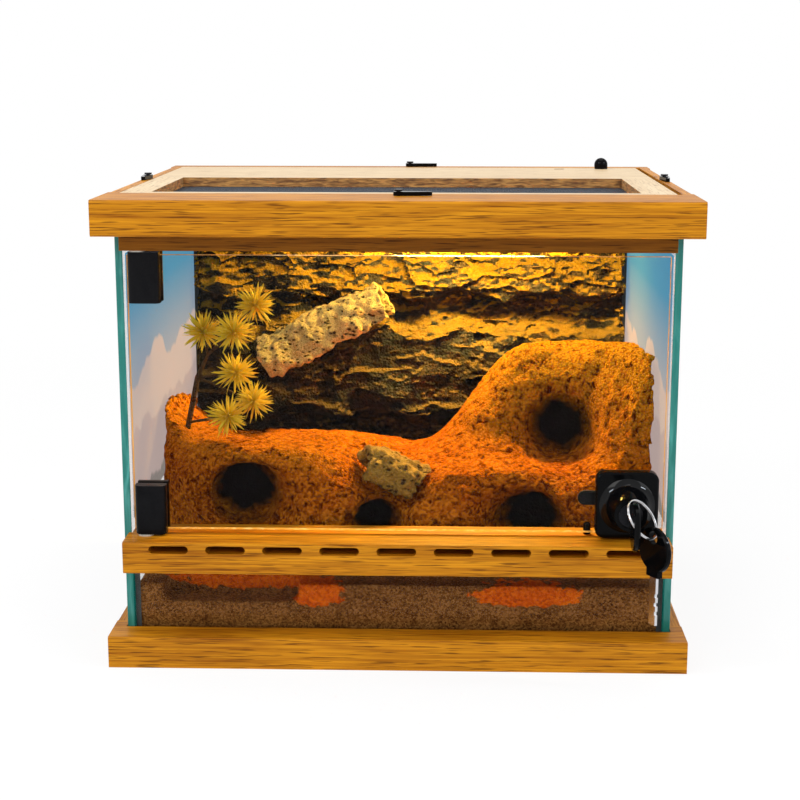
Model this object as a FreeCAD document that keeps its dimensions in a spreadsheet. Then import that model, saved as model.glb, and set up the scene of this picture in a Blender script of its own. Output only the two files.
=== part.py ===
import FreeCAD, Part
import itertools
import math
import os
import re

from FreeCAD import Placement, Rotation, Vector

# Glass reptile tank: oak base and lid, glass walls, a hinged and locked front door over a vented
# rail, a lift-out mesh panel held by turn buttons, and the clay, rock and bark scenery inside.
# The origin is the middle of the base's underside, X to the right, Y to the back and Z up.

SIZES = {
    # Lid frame
    "lid_overhang": 1.5, "lid_height": 24, "lid_round": 2,
    "lid_front_width": 58, "lid_rear_width": 18, "lid_side_width": 8,
    "lid_side_ledge": 14, "lid_front_ledge": 6, "lid_rear_ledge": 8,
    # Base
    "base_width": 397, "base_depth": 347, "base_height": 22, "base_round": 1.5,
    "base_ledge_width": 12, "base_ledge_height": 6, "base_panel_thickness": 6, "bearer_width": 40,
    # Glass box
    "glass_reveal": 275, "glass_thickness": 5, "glass_gap": 0.8,
    "glass_side_setback": 11, "glass_front_setback": 25, "glass_rear_setback": 11,
    "seam_leg": 4, "film_thickness": 0.4, "film_margin": 8,
    # Vented rail and header
    "rail_bottom": 68, "rail_height": 22, "rail_depth": 48, "rail_side_inset": 3, "rail_round": 1.5,
    "rail_fit": 0.3, "rail_groove_depth": 6, "rail_groove_fit": 0.1,
    "vent_count": 9, "vent_end_margin": 31.2, "vent_length": 27, "vent_height": 5.6, "vent_drop": 5,
    "vent_mesh_thickness": 0.8, "vent_mesh_border": 2,
    "header_height": 10.5, "header_depth": 36, "header_lead": 11,
    # Door and its pivot hinges
    "door_side_gap": 2.5, "door_top_gap": 4, "door_bottom_gap": 3,
    "hinge_width": 21, "hinge_height": 34, "hinge_front_depth": 9, "hinge_back_depth": 4,
    "hinge_inset": 2, "hinge_end_gap": 1.5, "hinge_round": 3.5,
    "pivot_inset": 6.5, "pivot_radius": 2.5, "pivot_clearance": 0.05, "pivot_length": 7,
    "bush_wall": 1.5, "bush_flange_lip": 1.5, "bush_flange": 1, "bush_length": 8,
    "hinge_screw_radius": 2, "hinge_screw_fit": 0.3, "hinge_screw_spacing": 18,
    "hinge_screw_bite": 5, "hinge_screw_head_radius": 3.6, "hinge_screw_head": 2,
    "stop_radius": 2.5, "stop_height": 8.5, "stop_clearance": 0.3, "stop_inset": 53.5, "stop_chamfer": 1.2,
    # Lock
    "lock_inset": 25.5, "lock_rise": 24.5, "plate_width": 42.5, "plate_height": 46,
    "plate_thickness": 8, "plate_corner": 6, "plate_chamfer": 1.2, "gasket_thickness": 0.8,
    "boss_radius": 15.5, "boss_length": 20, "nose_radius": 11, "nose_length": 5,
    "barrel_radius": 10, "barrel_fit": 0.2, "barrel_tail": 6,
    "lock_nut_flats": 26, "lock_nut_thickness": 4,
    "plug_radius": 8, "plug_clearance": 0.05, "plug_proud": 0.6,
    "cam_reach": 32, "cam_width": 10, "cam_thickness": 2, "cam_slot_fit": 0.8, "cam_slot_depth": 10,
    "cam_slot_run": 24,
    "cam_screw_radius": 4, "cam_screw_head": 2.5,
    # Keys and ring
    "blade_thickness": 2, "blade_height": 6.8, "blade_length": 24, "keyway_fit": 0.3,
    "key_neck_length": 12, "key_collar_length": 6, "key_collar_height": 12,
    "bow_length": 30, "bow_height": 32, "bow_thickness": 4, "bow_chamfer": 1.0,
    "bow_hole_radius": 4.5, "bow_hole_inset": 6.5,
    "ring_radius": 14, "ring_wire": 0.9, "ring_seam_width": 0.25, "ring_seam_depth": 0.3,
    "ring_droop": 50, "ring_lean": 26,
    "bit_count": 3, "bit_first": 2.4, "bit_pitch": 6, "bit_length": 2.4, "bit_depth": 0.9,
    "bit_deepening": 0.5,
    "spare_key_turn": 30, "spare_key_drop": 1,
    # Lift-out panel
    "panel_thickness": 7, "panel_gap": 0.5, "panel_slack": 3.5, "panel_front_width": 10.5,
    "panel_left_width": 20.5, "panel_right_width": 23.5, "panel_board_depth": 124.5,
    "mesh_thickness": 1, "mesh_lap": 4, "mesh_columns": 22, "mesh_rows": 10, "mesh_strand": 2,
    "cable_slot_length": 8, "cable_slot_width": 6, "cable_slot_side": 64.5, "cable_slot_inset": 12,
    "hood_side": 29.5, "hood_inset": 10, "hood_radius": 5.5, "hood_skirt": 3.5, "hood_arch_radius": 2.4,
    "light_length": 220, "light_width": 24, "light_depth": 9, "light_wall": 2, "light_lip": 2.5,
    "light_setback": 26, "light_round": 2,
    # Turn buttons
    "button_boss_radius": 3.6, "button_tip_radius": 1.6, "button_length": 21, "button_thickness": 2.6,
    "button_lift": 0.3, "button_screw_radius": 1.5, "button_clearance": 0.05,
    "button_screw_bite": 6, "button_head_radius": 2.8, "button_head": 1.2, "button_side_y": 20,
    "button_front_inset": 16,
    # Extra reach of a cutting tool
    "overcut": 1,
    # Scenery
    "scenery_gap": 1, "bed_depth": 35, "hollow_side": 20, "hollow_length": 90, "hollow_depth": 13,
    "rock_height": 236, "rock_depth": 44, "rock_relief": 30, "rock_stations": 19, "rock_drift": 0.1,
    "rock_ripple": 0.3,
    "mound_front": 26, "mound_back_gap": 1, "mound_rise": 76, "mound_toe_share": 0.5,
    "mound_run_share": 0.07, "mound_curve": 0.6, "mound_fall_share": 0.7, "mound_left_rise": 14,
    "mound_gap_drop": 42, "mound_gap_at": -0.03, "mound_gap_spread": 0.075, "mound_gap_run": 100,
    "mound_right_rise": 84, "mound_right_at": 0.14, "mound_right_spread": 0.12,
    "mound_hill_setback": 56, "mound_hill_run": 60,
    "mound_pillar_at": 0.5, "mound_pillar_spread": 0.1, "mound_pillar_lead": 44,
    "mound_pillar_steepness": 0.7,
    "mound_corner": 60, "mound_corner_run": 70,
    "mound_corner_rise": 22, "mound_corner_at": -0.5, "mound_corner_spread": 0.05,
    "mound_stations": 27, "mound_steps": 12, "mound_step_growth": 1.7,
    "burrow_depth": 60,
    "burrow_high_radius": 20, "burrow_high_x": 112, "burrow_high_setback": 40,
    "burrow_high_rise": 96,
    "burrow_left_radius": 22, "burrow_left_x": -108, "burrow_left_setback": -10, "burrow_left_rise": 46,
    "burrow_right_radius": 22, "burrow_right_x": 90, "burrow_right_setback": -10, "burrow_right_rise": 28,
    "burrow_middle_radius": 16, "burrow_middle_x": -14, "burrow_middle_setback": -10,
    "burrow_middle_rise": 26,
    "bark_radius": 26, "bark_wall": 7, "bark_length": 110, "bark_slope": 27, "bark_arc": 200,
    "bark_x": -64, "bark_wall_gap": 21, "bark_level": 133,
    "chip_radius": 20, "chip_length": 50, "chip_slope": -22, "chip_turn": 12,
    "chip_x": -7, "chip_setback": 36, "chip_lift": 6,
    "plant_inset": 24, "plant_setback": 79, "plant_root": 6,
    "stem_radius": 2.2, "twig_radius": 1.1, "tuft_core": 5, "tuft_reach": 12,
}

DERIVED = {
    "base_left": "=base_width / -2", "base_right": "=base_width / 2",
    "base_front": "=base_depth / -2", "base_rear": "=base_depth / 2",
    "lid_width": "=base_width + 2 * lid_overhang", "lid_depth": "=base_depth + 2 * lid_overhang",
    "lid_left": "=lid_width / -2", "lid_right": "=lid_width / 2",
    "lid_front": "=lid_depth / -2", "lid_rear": "=lid_depth / 2",
    "lid_bottom": "=base_height + glass_reveal", "lid_top": "=lid_bottom + lid_height",
    "glass_width": "=lid_width - 2 * glass_side_setback",
    "glass_left": "=glass_width / -2", "glass_right": "=glass_width / 2",
    "glass_front": "=lid_front + glass_front_setback",
    "glass_rear": "=lid_rear - glass_rear_setback",
    "inner_left": "=glass_left + glass_thickness", "inner_right": "=glass_right - glass_thickness",
    "inner_rear": "=glass_rear - glass_thickness", "inner_front": "=glass_front + glass_thickness",
    "seat_top": "=base_ledge_height + base_panel_thickness",
    "floor_top": "=seat_top + glass_thickness",
    "rail_width": "=glass_width - 2 * rail_side_inset",
    "rail_top": "=rail_bottom + rail_height", "rail_rear": "=lid_front + rail_depth",
    "vent_pitch": "=(rail_width - 2 * vent_end_margin) / (vent_count - 1)",
    "vent_middle": "=rail_top - vent_drop",
    "header_bottom": "=lid_bottom - header_height",
    "header_front": "=glass_front - header_lead",
    "door_left": "=inner_left + door_side_gap", "door_right": "=inner_right - door_side_gap",
    "door_low": "=rail_top + door_bottom_gap", "door_high": "=header_bottom - door_top_gap",
    "hinge_left": "=door_left + hinge_inset", "hinge_right": "=hinge_left + hinge_width",
    "hinge_screw_x": "=(hinge_left + pivot_inset + pivot_radius + hinge_right) / 2",
    "pivot_x": "=hinge_left + pivot_inset", "pivot_y": "=glass_front - hinge_front_depth / 2",
    "lock_x": "=door_right - lock_inset", "lock_z": "=rail_top + lock_rise",
    "plate_back": "=glass_front - gasket_thickness", "plate_front": "=plate_back - plate_thickness",
    "nose_front": "=plate_front - boss_length - nose_length",
    "plug_front": "=nose_front - plug_proud", "barrel_rear": "=inner_front + barrel_tail",
    "cam_front": "=barrel_rear + plug_proud",
    "panel_left": "=lid_left + lid_side_width + panel_gap",
    "panel_right": "=lid_right - lid_side_width - panel_slack",
    "panel_front": "=lid_front + lid_front_width + panel_gap",
    "panel_rear": "=lid_rear - lid_rear_width - panel_gap",
    "panel_bottom": "=lid_top - panel_thickness",
    "mesh_left": "=panel_left + panel_left_width", "mesh_right": "=panel_right - panel_right_width",
    "mesh_front": "=panel_front + panel_front_width", "mesh_rear": "=panel_rear - panel_board_depth",
    "light_front": "=mesh_rear + light_setback", "bed_top": "=floor_top + bed_depth",
    "hood_x": "=panel_right - hood_side", "hood_y": "=panel_rear - hood_inset",
    "cable_slot_x": "=panel_right - cable_slot_side", "plant_x": "=inner_left + plant_inset",
}

# Joints of the plant's stem, from its foot up
STEM = {
    "foot": Vector(0, 0, 0),
    "fork": Vector(8, -4, 35),
    "elbow": Vector(16, -4, 52),
    "tip": Vector(51, 4, 88),
}
# Middle of each plant tuft, from the foot of the stem, and the stem joint that its twig starts at
TUFTS = (
    (Vector(14, -10, 70), "elbow"),
    (Vector(51, 4, 88), "tip"),
    (Vector(38, -24, 72), "elbow"),
    (Vector(38, -16, 41), "fork"),
    (Vector(51, -18, 20), "fork"),
    (Vector(34, -33, 12), "foot"),
)

# Way that each burrow runs into the clay
BURROWS = {
    "burrow_high": Vector(0.1, 1, -0.12),
    "burrow_left": Vector(-0.1, 1, 0.1),
    "burrow_right": Vector(0.1, 1, 0.05),
    "burrow_middle": Vector(-0.1, 1, 0.05),
}

# Front of the rock from its foot up: the share of its height and of its relief at each corner
ROCK_PROFILE = (
    (0.00, 0.55),
    (0.24, 0.62),
    (0.29, 0.05),
    (0.56, 0.10),
    (0.60, 0.45),
    (0.68, 0.66),
    (0.70, 0.02),
    (0.75, 0.12),
    (0.86, 0.62),
    (0.91, 0.50),
    (1.00, 0.75),
)
# Turn of the rock's drift and of its ripple from one station to the next, and from its foot to its crown
LEVEL_PHASES = (1.7, 2.1)
DEPTH_PHASES = (2.3, 11.0)

GOLDEN_RATIO = (1 + math.sqrt(5)) / 2
HEXAGON = [math.pi * step / 3 for step in range(6)]
TOLERANCE = 1e-4

FACING = {
    "x": Rotation(Vector(0, 1, 0), 90),
    "y": Rotation(Vector(1, 0, 0), -90),
    "z": Rotation(),
}

doc = FreeCAD.newDocument("reptile_tank")
sheet = doc.addObject("Spreadsheet::Sheet", "sizes")
for row, (alias, value) in enumerate({**SIZES, **DERIVED}.items(), 1):
    sheet.set(f"A{row}", alias)
    sheet.set(f"B{row}", str(value))
    sheet.setAlias(f"B{row}", alias)
doc.recompute()

pieces = []


def mm(alias):
    """Value of a named size."""
    return float(getattr(sheet, alias))


def bound(formula):
    """Formula of named sizes, as an expression on the sheet."""
    return re.sub(r"[a-z]\w+", lambda word: f"sizes.{word.group()}", str(formula))


def place(solid, base, turn=None):
    """Put a solid's own origin at three formulas, turned if asked."""
    if turn is not None:
        solid.Placement = Placement(Vector(), turn)
    for axis, formula in zip("xyz", base):
        solid.setExpression(f"Placement.Base.{axis}", bound(formula))
    return solid


def box(name, low, high):
    """Box between two corners, each given as three formulas."""
    solid = doc.addObject("Part::Box", name)
    for side, lower, upper in zip(("Length", "Width", "Height"), low, high):
        solid.setExpression(side, bound(f"({upper}) - ({lower})"))
    return place(solid, low)


def cylinder(name, radius, length, start, along="z"):
    """Cylinder from a start point along one axis."""
    solid = doc.addObject("Part::Cylinder", name)
    solid.setExpression("Radius", bound(radius))
    solid.setExpression("Height", bound(length))
    return place(solid, start, FACING[along])


def cone(name, radii, length, start, along="z"):
    """Cone from a start point along one axis, with its first and last radius."""
    solid = doc.addObject("Part::Cone", name)
    solid.setExpression("Radius1", bound(radii[0]))
    solid.setExpression("Radius2", bound(radii[1]))
    solid.setExpression("Height", bound(length))
    return place(solid, start, FACING[along])


def fuse(name, *solids):
    """One solid from several that touch or overlap."""
    joined = doc.addObject("Part::MultiFuse", name)
    joined.Shapes = list(solids)
    return joined


def group(name, *solids):
    """Separate solids in one object."""
    gathered = doc.addObject("Part::Compound", name)
    gathered.Links = list(solids)
    return gathered


def cut(name, base, *tools):
    """Base with the tools taken out of it."""
    result = doc.addObject("Part::Cut", name)
    result.Base = base
    result.Tool = tools[0] if len(tools) == 1 else group(f"{name}_tools", *tools)
    return result


def rounded(name, base, radius, chosen):
    """Base with a fillet on each edge that the test picks."""
    doc.recompute()
    result = doc.addObject("Part::Fillet", name)
    result.Base = base
    edges = enumerate(base.Shape.Edges, 1)
    result.Edges = [(index, radius, radius) for index, edge in edges if chosen(edge)]
    return result


def chamfered(name, base, size, chosen):
    """Base with a chamfer on each edge that the test picks."""
    doc.recompute()
    result = doc.addObject("Part::Chamfer", name)
    result.Base = base
    edges = enumerate(base.Shape.Edges, 1)
    result.Edges = [(index, size, size) for index, edge in edges if chosen(edge)]
    return result


def extruded(name, outline, thickness, base, turn=None):
    """Body padded from a closed outline in its own XY plane."""
    body = doc.addObject("PartDesign::Body", name)
    sketch = body.newObject("Sketcher::SketchObject", f"{name}_outline")
    plane = next(part for part in body.Origin.OriginFeatures if part.Role == "XY_Plane")
    sketch.AttachmentSupport = (plane, [""])
    sketch.MapMode = "FlatFace"
    for curve in outline:
        sketch.addGeometry(curve, False)
    pad = body.newObject("PartDesign::Pad", f"{name}_pad")
    pad.Profile = sketch
    pad.setExpression("Length", bound(thickness))
    body.Tip = pad
    return place(body, base, turn)


def shaped(name, shape):
    """Free-form solid."""
    feature = doc.addObject("Part::Feature", name)
    feature.Shape = shape
    return feature


def polygon(points):
    """Closed outline of straight lines through points."""
    return [Part.LineSegment(a, b) for a, b in zip(points, points[1:] + points[:1])]


def runs_along(axis):
    """Test for straight edges parallel to an axis."""
    def test(edge):
        if not isinstance(edge.Curve, Part.Line):
            return False
        return abs(getattr(edge.Curve.Direction, axis)) > 1 - TOLERANCE
    return test


def both(first, second):
    """Test that holds where two tests hold."""
    return lambda edge: first(edge) and second(edge)


def at_level(axis, level):
    """Test for edges that lie at one coordinate."""
    def test(edge):
        return all(abs(getattr(vertex.Point, axis) - level) < TOLERANCE for vertex in edge.Vertexes)
    return test


def keep(*solids):
    """Add finished pieces to the set that is written."""
    pieces.extend(solids)


def build_base():
    """Four rebated oak rails, and the panel that lies on their ledges and on a bearer between them."""
    pocket_low = ("glass_left - glass_gap", "glass_front - glass_gap", "base_ledge_height")
    pocket_high = ("glass_right + glass_gap", "glass_rear + glass_gap", "base_height + overcut")
    front_inner = "glass_front - glass_gap + base_ledge_width"
    rear_inner = "glass_rear + glass_gap - base_ledge_width"
    spans = {
        "base_front_rail": (("base_left", "base_front"), ("base_right", front_inner)),
        "base_rear_rail": (("base_left", rear_inner), ("base_right", "base_rear")),
        "base_left_rail": (("base_left", front_inner),
                           ("glass_left - glass_gap + base_ledge_width", rear_inner)),
        "base_right_rail": (("glass_right + glass_gap - base_ledge_width", front_inner),
                            ("base_right", rear_inner)),
    }
    outer_edges = {
        "base_front_rail": both(runs_along("x"), at_level("y", mm("base_front"))),
        "base_rear_rail": both(runs_along("x"), at_level("y", mm("base_rear"))),
        "base_left_rail": both(runs_along("y"), at_level("x", mm("base_left"))),
        "base_right_rail": both(runs_along("y"), at_level("x", mm("base_right"))),
    }
    for name, (low, high) in spans.items():
        blank = box(f"{name}_blank", (*low, "0"), (*high, "base_height"))
        pocket = box(f"{name}_pocket", pocket_low, pocket_high)
        rebated = cut(f"{name}_rebated", blank, pocket)
        top_edge = both(outer_edges[name], at_level("z", mm("base_height")))
        keep(rounded(name, rebated, mm("base_round"), top_edge))
    keep(box("base_bearer", ("bearer_width / -2", front_inner, "0"),
             ("bearer_width / 2", rear_inner, "base_ledge_height")))
    keep(box("base_panel", ("glass_left - glass_gap", "glass_front - glass_gap", "base_ledge_height"),
             ("glass_right + glass_gap", "glass_rear + glass_gap", "seat_top")))


def build_glass():
    """Walls and floor of the glass box, its corner seams and the films on the side walls."""
    keep(
        box("left_glass", ("glass_left", "glass_front", "seat_top"),
            ("inner_left", "glass_rear", "lid_bottom")),
        box("right_glass", ("inner_right", "glass_front", "seat_top"),
            ("glass_right", "glass_rear", "lid_bottom")),
        box("back_glass", ("inner_left", "inner_rear", "seat_top"),
            ("inner_right", "glass_rear", "lid_bottom")),
        box("bottom_glass", ("inner_left", "inner_front", "seat_top"),
            ("inner_right", "inner_rear", "floor_top")),
        box("lower_front_glass", ("inner_left", "glass_front", "seat_top"),
            ("inner_right", "inner_front", "rail_bottom + rail_groove_depth")),
    )
    leg = mm("seam_leg")
    corners = {
        "rear_left": ("inner_left", "inner_rear", 1, -1, "lid_bottom - floor_top"),
        "rear_right": ("inner_right", "inner_rear", -1, -1, "lid_bottom - floor_top"),
        "front_left": ("inner_left", "inner_front", 1, 1, "rail_bottom - floor_top"),
        "front_right": ("inner_right", "inner_front", -1, 1, "rail_bottom - floor_top"),
    }
    beads = []
    for corner, (x, y, to_x, to_y, height) in corners.items():
        outline = polygon([Vector(), Vector(to_x * leg, 0, 0), Vector(0, to_y * leg, 0)])
        beads.append(extruded(f"{corner}_seam", outline, height, (x, y, "floor_top")))
    keep(group("silicone_seams", *beads))
    front_low = ("inner_front + film_margin / 2", "rail_top + film_margin")
    rear_high = ("inner_rear - seam_leg - scenery_gap", "header_bottom - film_margin / 2")
    keep(
        box("left_sky_film", ("inner_left", *front_low), ("inner_left + film_thickness", *rear_high)),
        box("right_sky_film", ("inner_right - film_thickness", *front_low), ("inner_right", *rear_high)),
    )


def build_rail_and_header():
    """Vented rail over the lower glass, its insect mesh, the header and the two pivot bushes."""
    lip = box("rail_lip", ("rail_width / -2", "lid_front", "rail_bottom"),
              ("rail_width / 2", "glass_front", "rail_top"))
    tongue = box("rail_tongue", ("inner_left + rail_fit", "glass_front", "rail_bottom"),
                 ("inner_right - rail_fit", "rail_rear", "rail_top"))
    blank = fuse("rail_blank", lip, tongue)
    front_edges = both(runs_along("x"), at_level("y", mm("lid_front")))
    softened = rounded("rail_softened", blank, mm("rail_round"), front_edges)
    groove = box("rail_groove",
                 ("inner_left", "glass_front - rail_groove_fit", "rail_bottom - overcut"),
                 ("inner_right", "inner_front + rail_groove_fit", "rail_bottom + rail_groove_depth"))
    cam_slot = box("rail_cam_slot",
                   ("lock_x - cam_slot_run", "cam_front - cam_slot_fit", "rail_top - cam_slot_depth"),
                   ("lock_x + cam_width / 2 + cam_slot_fit * 2", "cam_front + cam_thickness + cam_slot_fit",
                    "rail_top + overcut"))
    sleeve_radius = "pivot_radius + pivot_clearance + bush_wall"
    bush_seat = cylinder("rail_bush_seat", sleeve_radius, "bush_length + overcut",
                         ("pivot_x", "pivot_y", "rail_top - bush_length"))
    vents = []
    half = mm("vent_height") / 2
    reach = mm("vent_length") / 2 - half
    outline = [
        Part.LineSegment(Vector(-reach, half, 0), Vector(reach, half, 0)),
        Part.Arc(Vector(reach, half, 0), Vector(reach + half, 0, 0), Vector(reach, -half, 0)),
        Part.LineSegment(Vector(reach, -half, 0), Vector(-reach, -half, 0)),
        Part.Arc(Vector(-reach, -half, 0), Vector(-reach - half, 0, 0), Vector(-reach, half, 0)),
    ]
    for index in range(round(mm("vent_count"))):
        across = f"({index} - (vent_count - 1) / 2) * vent_pitch"
        vents.append(extruded(f"vent_{index + 1}", outline, "rail_depth + 2 * overcut",
                              (across, "lid_front - overcut", "vent_middle"), FACING["y"]))
    keep(cut("vent_rail", softened, groove, cam_slot, bush_seat, *vents))

    border = "vent_length / 2 + vent_mesh_border"
    reach_out = f"(vent_count - 1) / 2 * vent_pitch + {border}"
    reach_up = "(vent_height / 2 + vent_mesh_border)"
    keep(box("vent_mesh", (f"-({reach_out})", "rail_rear", f"vent_middle - {reach_up}"),
             (reach_out, "rail_rear + vent_mesh_thickness", f"vent_middle + {reach_up}")))

    header = box("header_blank", ("inner_left", "header_front", "header_bottom"),
                 ("inner_right", "header_front + header_depth", "lid_bottom"))
    header_seat = cylinder("header_bush_seat", sleeve_radius, "bush_length + overcut",
                           ("pivot_x", "pivot_y", "header_bottom - overcut"))
    keep(cut("header_rail", header, header_seat))

    bushes = []
    levels = {
        "lower": ("rail_top - bush_length", "rail_top"),
        "upper": ("header_bottom", "header_bottom - bush_flange"),
    }
    for end, (sleeve_low, flange_low) in levels.items():
        sleeve = cylinder(f"{end}_bush_sleeve", sleeve_radius, "bush_length",
                          ("pivot_x", "pivot_y", sleeve_low))
        flange = cylinder(f"{end}_bush_flange", f"{sleeve_radius} + bush_flange_lip", "bush_flange",
                          ("pivot_x", "pivot_y", flange_low))
        bore = cylinder(f"{end}_bush_bore", "pivot_radius + pivot_clearance",
                        "bush_length + 2 * bush_flange + overcut",
                        ("pivot_x", "pivot_y", f"{sleeve_low} - bush_flange - overcut"))
        bushes.append(cut(f"{end}_bush", fuse(f"{end}_bush_blank", sleeve, flange), bore))
    keep(group("pivot_bushes", *bushes))

    peg = cylinder("stop_peg_blank", "stop_radius", "stop_height",
                   ("inner_right - stop_inset", "inner_front + stop_clearance + stop_radius", "rail_top"))
    peg_top = at_level("z", mm("rail_top") + mm("stop_height"))
    keep(chamfered("door_stop_peg", peg, mm("stop_chamfer"), peg_top))


def hinge_levels():
    """Formula of each hinge's lower edge, by its name."""
    return {
        "upper": "header_bottom - hinge_end_gap - hinge_height",
        "lower": "rail_top + hinge_end_gap",
    }


def build_door():
    """Glass door with its two clamp hinges."""
    screws = []
    holes = []
    backs = []
    for name, low in hinge_levels().items():
        front = box(f"{name}_hinge_block", ("hinge_left", "glass_front - hinge_front_depth", low),
                    ("hinge_right", "glass_front", f"{low} + hinge_height"))
        front_edges = both(runs_along("z"), at_level("y", mm("glass_front") - mm("hinge_front_depth")))
        block = rounded(f"{name}_hinge_cover", front, mm("hinge_round"), front_edges)
        pin_reach = "hinge_end_gap + pivot_length"
        pin_low = f"{low} + hinge_height / 2" if name == "upper" else f"{low} - ({pin_reach})"
        pin = cylinder(f"{name}_hinge_pin", "pivot_radius", f"hinge_height / 2 + {pin_reach}",
                       ("pivot_x", "pivot_y", pin_low))
        back = box(f"{name}_hinge_back", ("hinge_left", "inner_front", low),
                   ("hinge_right", "inner_front + hinge_back_depth", f"{low} + hinge_height"))
        sockets = []
        clearances = []
        for side in (-1, 1):
            tag = f"{name}_{'low' if side < 0 else 'high'}"
            level = f"{low} + hinge_height / 2 + {side} * hinge_screw_spacing / 2"
            tip = ("hinge_screw_x", "glass_front - hinge_screw_bite", level)
            length = "hinge_screw_bite + glass_thickness + hinge_back_depth"
            sockets.append(cylinder(f"{tag}_socket", "hinge_screw_radius", "hinge_screw_bite + overcut",
                                    tip, "y"))
            holes.append(cylinder(f"{tag}_glass_hole", "hinge_screw_radius + hinge_screw_fit",
                                  "glass_thickness + 2 * overcut",
                                  ("hinge_screw_x", "glass_front - overcut", level), "y"))
            clearances.append(cylinder(f"{tag}_back_hole", "hinge_screw_radius",
                                       "hinge_back_depth + 2 * overcut",
                                       ("hinge_screw_x", "inner_front - overcut", level), "y"))
            shank = cylinder(f"{tag}_shank", "hinge_screw_radius", length, tip, "y")
            head = cylinder(f"{tag}_head", "hinge_screw_head_radius", "hinge_screw_head",
                            ("hinge_screw_x", "inner_front + hinge_back_depth", level), "y")
            screws.append(fuse(f"{tag}_screw", shank, head))
        keep(cut(f"{name}_hinge_clamp", fuse(f"{name}_hinge_body", block, pin), *sockets))
        backs.append(cut(f"{name}_hinge_plate", back, *clearances))
    keep(group("hinge_back_plates", *backs), group("hinge_screws", *screws))
    lock_hole = cylinder("door_lock_hole", "barrel_radius + barrel_fit", "glass_thickness + 2 * overcut",
                         ("lock_x", "glass_front - overcut", "lock_z"), "y")
    pane = box("door_pane", ("door_left", "glass_front", "door_low"),
               ("door_right", "inner_front", "door_high"))
    keep(cut("door_glass", pane, lock_hole, *holes))


def build_lock():
    """Plate lock with a conical boss, its gasket and nut, the turning plug and the cam."""
    plate_left, plate_right = "lock_x - plate_width / 2", "lock_x + plate_width / 2"
    plate_low, plate_high = "lock_z - plate_height / 2", "lock_z + plate_height / 2"
    plate_box = box("lock_plate_blank", (plate_left, "plate_front", plate_low),
                    (plate_right, "plate_back", plate_high))
    plate = rounded("lock_plate_corners", plate_box, mm("plate_corner"), runs_along("y"))
    eased = chamfered("lock_plate", plate, mm("plate_chamfer"), at_level("y", mm("plate_front")))
    boss = cone("lock_boss", ("nose_radius", "boss_radius"), "boss_length",
                ("lock_x", "plate_front - boss_length", "lock_z"), "y")
    nose = cylinder("lock_nose", "nose_radius", "nose_length", ("lock_x", "nose_front", "lock_z"), "y")
    barrel = cylinder("lock_barrel", "barrel_radius", "barrel_rear - plate_front",
                      ("lock_x", "plate_front", "lock_z"), "y")
    bore = cylinder("lock_bore", "plug_radius + plug_clearance", "barrel_rear - nose_front + 2 * overcut",
                    ("lock_x", "nose_front - overcut", "lock_z"), "y")
    keep(cut("lock_housing", fuse("lock_casting", eased, boss, nose, barrel), bore))

    gasket_box = box("lock_gasket_blank", (plate_left, "plate_back", plate_low),
                     (plate_right, "glass_front", plate_high))
    gasket = rounded("lock_gasket_corners", gasket_box, mm("plate_corner"), runs_along("y"))
    gasket_hole = cylinder("lock_gasket_hole", "barrel_radius", "gasket_thickness + 2 * overcut",
                           ("lock_x", "plate_back - overcut", "lock_z"), "y")
    keep(cut("lock_gasket", gasket, gasket_hole))

    corner = mm("lock_nut_flats") / math.sqrt(3)
    hexagon = [Vector(corner * math.cos(turn), corner * math.sin(turn), 0) for turn in HEXAGON]
    outline = polygon(hexagon) + [Part.Circle(Vector(), Vector(0, 0, 1), mm("barrel_radius"))]
    keep(extruded("lock_nut", outline, "lock_nut_thickness", ("lock_x", "inner_front", "lock_z"),
                  FACING["y"]))

    plug = cylinder("plug_blank", "plug_radius", "cam_front - plug_front",
                    ("lock_x", "plug_front", "lock_z"), "y")
    keyway = box("plug_keyway",
                 ("lock_x - blade_thickness / 2 - keyway_fit", "plug_front - overcut",
                  "lock_z - blade_height / 2 - keyway_fit"),
                 ("lock_x + blade_thickness / 2 + keyway_fit", "plug_front + blade_length + keyway_fit",
                  "lock_z + blade_height / 2 + keyway_fit"))
    keep(cut("lock_plug", plug, keyway))

    half = mm("cam_width") / 2
    tip = half - mm("cam_reach")
    cam_outline = [
        Part.LineSegment(Vector(0, half, 0), Vector(tip, half, 0)),
        Part.Arc(Vector(tip, half, 0), Vector(tip - half, 0, 0), Vector(tip, -half, 0)),
        Part.LineSegment(Vector(tip, -half, 0), Vector(0, -half, 0)),
        Part.Arc(Vector(0, -half, 0), Vector(half, 0, 0), Vector(0, half, 0)),
    ]
    keep(extruded("lock_cam", cam_outline, "cam_thickness", ("lock_x", "cam_front", "lock_z"), FACING["y"]))
    keep(cylinder("cam_screw", "cam_screw_radius", "cam_screw_head",
                  ("lock_x", "cam_front + cam_thickness", "lock_z"), "y"))


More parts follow.
